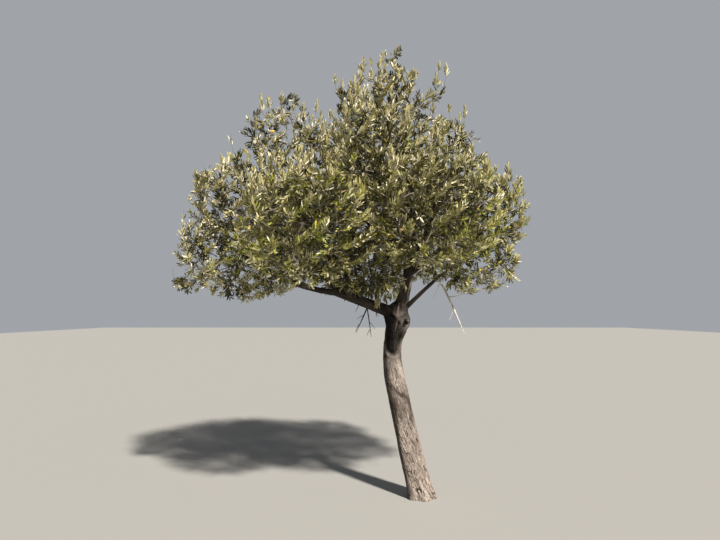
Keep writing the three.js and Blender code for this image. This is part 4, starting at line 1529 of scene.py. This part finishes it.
@dataclass
class TwigSkins:
    """The tubes round a mass's twigs, each as thick as the tips that it carries need."""

    growth: Growth
    stem_radius: float
    # the radius of a tip, and the power of its tips by which a twig is thicker
    tip_radius: float = 1.15
    branching: float = 0.42
    # how pointed a twig's end is, how much of its bough's radius a stem starts with, and how stout shoots are
    point: float = 0.7
    stem_share: float = 0.97
    shoot_stoutness: float = 1.7
    # the radii above which a twig is old wood, is grey, and has four sides
    old_radius: float = 5.0
    grey_radius: float = 1.9
    four_sided_radius: float = 3.0

    def radii(self, twig: Twig) -> np.ndarray:
        """The radii at a twig's corners.

        Args:
            twig: the twig.

        Returns:
            A radius for each corner.
        """
        shares = np.linspace(0, 1, len(twig.points))
        radii = self.tip_radius * twig.bearers(shares - 0.001) ** self.branching
        radii[-1] = self.tip_radius * self.point
        if twig.order is Order.STEM:
            radii = radii + (self.stem_radius * self.stem_share - radii[0]) * (1 - shares) ** 2
        if twig.order is Order.SHOOT:
            radii = radii * self.shoot_stoutness
        return radii

    def build(self, finishes: list[bpy.types.Material]) -> None:
        """Makes one piece of all the mass's twigs.

        Args:
            finishes: the materials of old wood, grey twigs and young shoots.
        """
        points, faces, tints, count = [], [], [], 0
        for twig in self.growth.twigs:
            radii = self.radii(twig)
            sides = 8 if twig.order is Order.STEM else 4 if radii[0] > self.four_sided_radius else 3
            firsts, seconds = carried_frames(unit(np.gradient(twig.points, axis=0)))
            bearings = np.linspace(0, 2 * math.pi, sides, endpoint=False)
            rings = round_points(bearings, firsts, seconds)
            points.append((twig.points[:, None] + radii[:, None, None] * rings).reshape(-1, 3))
            faces.append(tube_faces(len(twig.points), sides) + count)
            ages = np.select([radii[:-1] > self.old_radius, radii[:-1] > self.grey_radius], [0, 1], 2)
            tints.append(np.repeat(ages, sides))
            count += len(twig.points) * sides
        name = self.growth.mass.name
        piece = mesh_object(f"{name}_twigs", np.vstack(points), np.vstack(faces), finishes, np.concatenate(tints))
        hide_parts(name)


@dataclass
class Leaves:
    """Pairs of leaves on a mass's twigs, each pair square to the one before it."""

    growth: Growth
    seed: int
    # how far apart the pairs stand, a leaf's length, and its width as a share of that
    spacing: float = 13.0
    length: float = 62.0
    width: float = 0.265
    # the range of the leaves' lengths, how much shorter they are at a twig's tip, and how far back from it that begins
    size_range: tuple[float, float] = (0.78, 1.2)
    tip_shorter: float = 0.35
    tip_zone: float = 70.0
    # how far a leaf stands off its twig's middle line, and its angle to the twig, less at the tip and on shoots
    stalk: float = 1.2
    angle: float = 0.82
    tip_closed: float = 0.42
    shoot_closed: float = 0.25
    # the range of bearings at which a twig's first pair stands
    turn_range: float = 6.3
    # how much leaves turn up, how much more by the lift of their mass, and how much their faces look up
    rise: float = 0.1
    lift_rise: float = 0.58
    face_rise: float = 0.35
    # how many tips a twig carries at most where leaves stand on it, and the bare share of a twig and of a shoot
    bearing_tips: int = 4
    bare_share: float = 0.25
    shoot_bare_share: float = 0.4
    # how far out leaves of sprays and of shoots may reach, in lobe sizes, and how far into the neighbours' space
    spray_reach: float = Growth.OUTLINE + 0.03
    shoot_reach: float = 2.0
    overlap: float = Growth.OVERLAP + 0.06
    # how far they stay away from wood, and how much thinner they are in the crown's gaps
    clearance: float = 2.0
    thinning: float = 0.7
    # the chances of each tint on a spray, from cream to fresh
    low_tints: tuple[float, ...] = (0.15, 0.15, 0.24, 0.35, 0.11)
    high_tints: tuple[float, ...] = (0.44, 0.34, 0.15, 0.055, 0.015)
    fresh_tints: tuple[float, ...] = (0.12, 0.13, 0.11, 0.14, 0.50)
    # the share of a spray's leaves that have a tint of their own
    mixed_share: float = 0.5
    # the middles and reaches of the fresh green patches, as x, z and radius
    fresh_patches: tuple[tuple[float, float, float], ...] = ((-870, 2400, 380), (-1500, 2130, 330), (490, 2290, 300))
    # the height at which sprays begin to turn pale, partly by their silver and partly by painted light, over how much
    # height they do, the x where that holds, and its slope
    pale_from: float = 2050.0
    pale_over: float = 1150.0
    pale_middle: float = -500.0
    pale_slope: float = 0.42
    # a pale patch at the left, partly painted light
    pale_place: tuple[float, float] = (-1980, 2030)
    pale_reach: float = 330.0
    pale_strength: float = 0.75
    # the depths between which sprays get painted shade, the share of their leaves that do, and a patch of painted shade
    # over the fork
    shade_depths: tuple[float, float] = (0.88, 0.58)
    shade_share: float = 0.85
    dark_place: tuple[float, float] = (-400, 1890)
    dark_reach: float = 420.0
    dark_strength: float = 0.72
    yellow_share: float = 0.009
    rust_share: float = 0.005

    def build(self, finishes: list[bpy.types.Material]) -> None:
        """Makes one piece of all the mass's leaves.

        Args:
            finishes: the materials of the tints, in their order.
        """
        dice = np.random.default_rng(self.seed)
        sprays = [self._spray(twig, dice) for twig in self.growth.twigs]
        roots, along, upper, sizes, tints = (np.concatenate(parts) for parts in zip(*sprays))
        tips = roots + along * sizes[:, None]
        mass = self.growth.mass
        shoots = [twig.order is Order.SHOOT for twig in self.growth.twigs]
        on_shoot = np.repeat(shoots, [len(spray[0]) for spray in sprays])
        reach = np.where(on_shoot, self.shoot_reach, self.spray_reach)
        fits = self.growth.crown.own(mass, tips, self.overlap, reach)
        fits &= on_shoot | (dice.random(len(tips)) >= self.thinning * seen_share(tips))
        fits &= self.growth.skeleton.clear(roots + along * sizes[:, None] * 0.6, self.clearance)
        points, faces, slots = self._blades(roots[fits], along[fits], upper[fits], sizes[fits], tints[fits])
        piece = mesh_object(f"{mass.name}_leaves", points, faces, finishes, slots, smooth=False)
        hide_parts(mass.name)

    def _spray(self, twig: Twig, dice: np.random.Generator) -> tuple[np.ndarray, ...]:
        """The leaves of one twig.

        Args:
            twig: the twig.
            dice: the mass's run of random numbers.

        Returns:
            Their roots, directions, upper sides, lengths and tints.
        """
        path = Path(twig.points)
        shares = np.linspace(0, 1, 41)
        leafy = shares[twig.bearers(shares) <= self.bearing_tips]
        first = max(self.bare_share, float(leafy.min())) if len(leafy) else 1.0
        on_shoot = twig.order is Order.SHOOT
        first = self.shoot_bare_share if on_shoot else first
        pairs = int((1 - first) * path.length / self.spacing) + 1
        places = np.linspace(first, 1, pairs + 1)[1:]
        near_tip = np.clip(1 - (1 - places) * path.length / self.tip_zone, 0, 1)
        headings = path.heading(places)
        firsts, seconds = carried_frames(headings)
        turns = dice.random() * self.turn_range + np.arange(pairs) * math.pi / 2 + dice.normal(0, 0.25, pairs)
        radial = np.cos(turns)[:, None] * firsts + np.sin(turns)[:, None] * seconds
        radial = np.stack([radial, -radial], axis=1).reshape(-1, 3)
        headings, near_tip = np.repeat(headings, 2, axis=0), np.repeat(near_tip, 2)
        roots = np.repeat(path.at(places), 2, axis=0) + radial * self.stalk
        count = 2 * pairs
        angle = self.angle - self.tip_closed * near_tip - self.shoot_closed * on_shoot + dice.normal(0, 0.16, count)
        along = np.cos(angle)[:, None] * headings + np.sin(angle)[:, None] * radial
        rise = UP * (self.rise + self.lift_rise * self.growth.mass.lift)
        along = unit(along + dice.normal(0, 0.13, (count, 3)) + rise)
        upper = unit(headings + UP * self.face_rise + dice.normal(0, 0.3, (count, 3)))
        upper = unit(upper - along * (upper * along).sum(1, keepdims=True))
        sizes = self.length * (1 - self.tip_shorter * near_tip) * dice.uniform(*self.size_range, count)
        return roots, along, upper, sizes, self._tints(twig, count, dice)

    def _tints(self, twig: Twig, count: int, dice: np.random.Generator) -> np.ndarray:
        """Deals one main tint to a spray and others to some of its leaves.

        Args:
            twig: the spray's twig.
            count: how many leaves it has.
            dice: the mass's run of random numbers.

        Returns:
            The number of each leaf's tint.
        """
        chances = self._chances(twig.points[-1])
        own = dice.random(count) < self.mixed_share
        tints = np.where(own, dice.choice(len(chances), count, p=chances), dice.choice(len(chances), p=chances))
        # sprays deep in their mass, and over the fork, get painted shade
        depth = self.growth.mass.depth(twig.points[len(twig.points) // 2][None])[0]
        shaded = eased(-depth, -self.shade_depths[0], -self.shade_depths[1])
        dark = math.exp(-((math.dist(twig.points[-1][[0, 2]], self.dark_place) / self.dark_reach) ** 2))
        if dice.random() < shaded + self.dark_strength * dark:
            tints = np.where(dice.random(count) < self.shade_share, TINT_NUMBER[Tint.SHADE], tints)
        draw = dice.random(count)
        if twig.order is Order.SHOOT:
            return np.where(tints == TINT_NUMBER[Tint.FRESH], TINT_NUMBER[Tint.SILVER], tints)
        tints = np.where(draw < self.yellow_share, TINT_NUMBER[Tint.YELLOW], tints)
        return np.where(draw > 1 - self.rust_share, TINT_NUMBER[Tint.RUST], tints)

    def _chances(self, tip: np.ndarray) -> np.ndarray:
        """How likely each tint is on a spray: pale ones, partly painted light, up high, and fresh green in some
        patches.

        Args:
            tip: the place of the spray's tip.

        Returns:
            The chances from cream to fresh.
        """
        front = tip[[0, 2]]
        level = tip[2] + self.pale_slope * (self.pale_middle - tip[0])
        pale_patch = math.exp(-((math.dist(front, self.pale_place) / self.pale_reach) ** 2))
        high = max(np.clip((level - self.pale_from) / self.pale_over, 0, 1), self.pale_strength * pale_patch)
        fresh = max(math.exp(-((math.dist(front, (x, z)) / reach) ** 2)) for x, z, reach in self.fresh_patches)
        chances = np.array(self.low_tints) * (1 - high) + np.array(self.high_tints) * high
        chances = chances * (1 - fresh) + np.array(self.fresh_tints) * fresh
        return chances / chances.sum()

    def _blades(self, roots: np.ndarray, along: np.ndarray, upper: np.ndarray, sizes: np.ndarray,
                tints: np.ndarray) -> tuple[np.ndarray, np.ndarray, np.ndarray]:
        """Thin closed blades with a lance-shaped outline and a raised middle.

        Args:
            roots: where the leaves stand.
            along: their directions.
            upper: the directions of their upper sides.
            sizes: their lengths.
            tints: the number of each leaf's tint.

        Returns:
            Their points, their triangles, and the slot that each triangle wears.
        """
        across = np.cross(upper, along)
        outline = np.array([
            # along, across, up, as shares of the length
            (0.0, 0.0, 0.0), (0.30, -0.46 * self.width, -0.046), (0.68, -0.42 * self.width, -0.078),
            (1.0, 0.0, -0.080), (0.68, 0.42 * self.width, -0.078), (0.30, 0.46 * self.width, -0.046),
        ])
        above = np.array([(0, 1, 2), (0, 2, 3), (0, 3, 4), (0, 4, 5)])
        below = np.array([(0, 5, 1), (5, 4, 1), (4, 2, 1), (4, 3, 2)])
        axes = np.stack([along, across, upper], axis=1) * sizes[:, None, None]
        points = roots[:, None] + np.einsum("pa,nax->npx", outline, axes)
        faces = np.arange(len(roots))[:, None, None] * len(outline) + np.vstack([above, below])[None]
        under = np.where(tints >= TINT_NUMBER[Tint.YELLOW], tints, TINT_NUMBER[Tint.UNDERSIDE])
        under = np.where(tints == TINT_NUMBER[Tint.FRESH], TINT_NUMBER[Tint.FRESH], under)
        # leaves with painted shade get olive undersides
        under = np.where(tints == TINT_NUMBER[Tint.SHADE], TINT_NUMBER[Tint.OLIVE], under)
        slots = np.stack([tints] * len(above) + [under] * len(below), axis=1)
        return points.reshape(-1, 3), faces.reshape(-1, 3), slots.ravel()


@dataclass
class Foliage:
    """Every mass of twigs and leaves."""

    skeleton: Skeleton
    crown: Crown = field(default_factory=Crown)
    first_seed: int = 300

    def build(self) -> None:
        """Grows each mass and makes its two pieces."""
        twig_finishes = [tint.value.made() for tint in TwigTint]
        leaf_finishes = [tint.value.made() for tint in Tint]
        for number, mass in enumerate(self.crown.masses):
            growth = Growth(mass, self.crown, self.skeleton)
            growth.grow()
            TwigSkins(growth, stem_radius=float(self.skeleton.limbs[mass.limb].thin)).build(twig_finishes)
            Leaves(growth, seed=self.first_seed + number).build(leaf_finishes)


@dataclass
class Studio:
    """The pale floor, the soft light and the camera at the photograph's angle."""

    # the floor's corners, in metres
    floor_corners: tuple[Place, ...] = ((-30, -30, 0), (30, -30, 0), (30, 60, 0), (-30, 60, 0))
    camera_place: Place = (-0.54, -5.1, 1.62)
    camera_rise: float = math.radians(4.443)
    sensor_width: float = 36.0
    lens: float = 28.0
    key_from: Place = (0.355, -0.61, 0.71)
    key_colour: Colour = (1.0, 0.94, 0.84)
    key_power: float = 7.1
    key_softness: float = math.radians(4)
    glow_colour: Colour = (0.84, 0.88, 0.94)
    level_glow: float = 0.42
    overhead_glow: float = 0.08
    # the rise of a direction at which the surroundings begin to dim, and at which they are dim
    dimming: tuple[float, float] = (0.5, 0.75)

    def build(self) -> None:
        """Sets up the floor, camera, key light and surroundings."""
        self._floor()
        self._camera()
        self._key()
        self._surroundings()
        bpy.context.scene.view_settings.view_transform = "Standard"

    def _floor(self) -> None:
        """A wide pale floor."""
        mesh = bpy.data.meshes.new("floor")
        mesh.from_pydata(self.floor_corners, [], [(0, 1, 2, 3)])
        mesh.materials.append(FLOOR.made())
        floor = bpy.data.objects.new("floor", mesh)
        bpy.context.scene.collection.objects.link(floor)

    def _camera(self) -> None:
        """The camera where the photograph was taken from."""
        data = bpy.data.cameras.new("camera")
        data.sensor_width = self.sensor_width
        data.lens = self.lens
        camera = bpy.data.objects.new("camera", data)
        camera.location = self.camera_place
        camera.rotation_euler = (math.pi / 2 + self.camera_rise, 0, 0)
        bpy.context.scene.collection.objects.link(camera)
        bpy.context.scene.camera = camera

    def _key(self) -> None:
        """The one strong light, high and from the front right."""
        data = bpy.data.lights.new("key", "SUN")
        data.angle = self.key_softness
        data.energy = self.key_power
        data.color = self.key_colour
        light = bpy.data.objects.new("key", data)
        x, y, z = self.key_from
        light.rotation_euler = (math.atan2(math.hypot(x, y), z), 0, math.atan2(x, -y))
        bpy.context.scene.collection.objects.link(light)

    def _surroundings(self) -> None:
        """Pale surroundings that dim overhead, so that the crown keeps its shade."""
        world = bpy.data.worlds.new("studio")
        world.use_nodes = True
        nodes = Nodes(world.node_tree)
        towards = nodes.node("ShaderNodeTexCoord").outputs["Generated"]
        rise = Value(nodes, nodes.node("ShaderNodeSeparateXYZ", sockets={0: towards}).outputs["Z"])
        glow = self.level_glow - rise.stepped(*self.dimming) * (self.level_glow - self.overhead_glow)
        background = nodes.node("ShaderNodeBackground", sockets={"Color": self.glow_colour, "Strength": glow})
        nodes.node("ShaderNodeOutputWorld", sockets={"Surface": background.outputs[0]})
        bpy.context.scene.world = world


def main() -> None:
    """Loads the frame, builds each part of the tree in order, and sets up the studio."""
    logging.basicConfig(level=logging.INFO, format="%(message)s")
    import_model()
    skeleton = Skeleton()
    Trunk(skeleton).build()
    Boughs(skeleton).build()
    BareWood(skeleton).build()
    Foliage(skeleton).build()
    Studio().build()


if __name__ == "__main__":
    main()
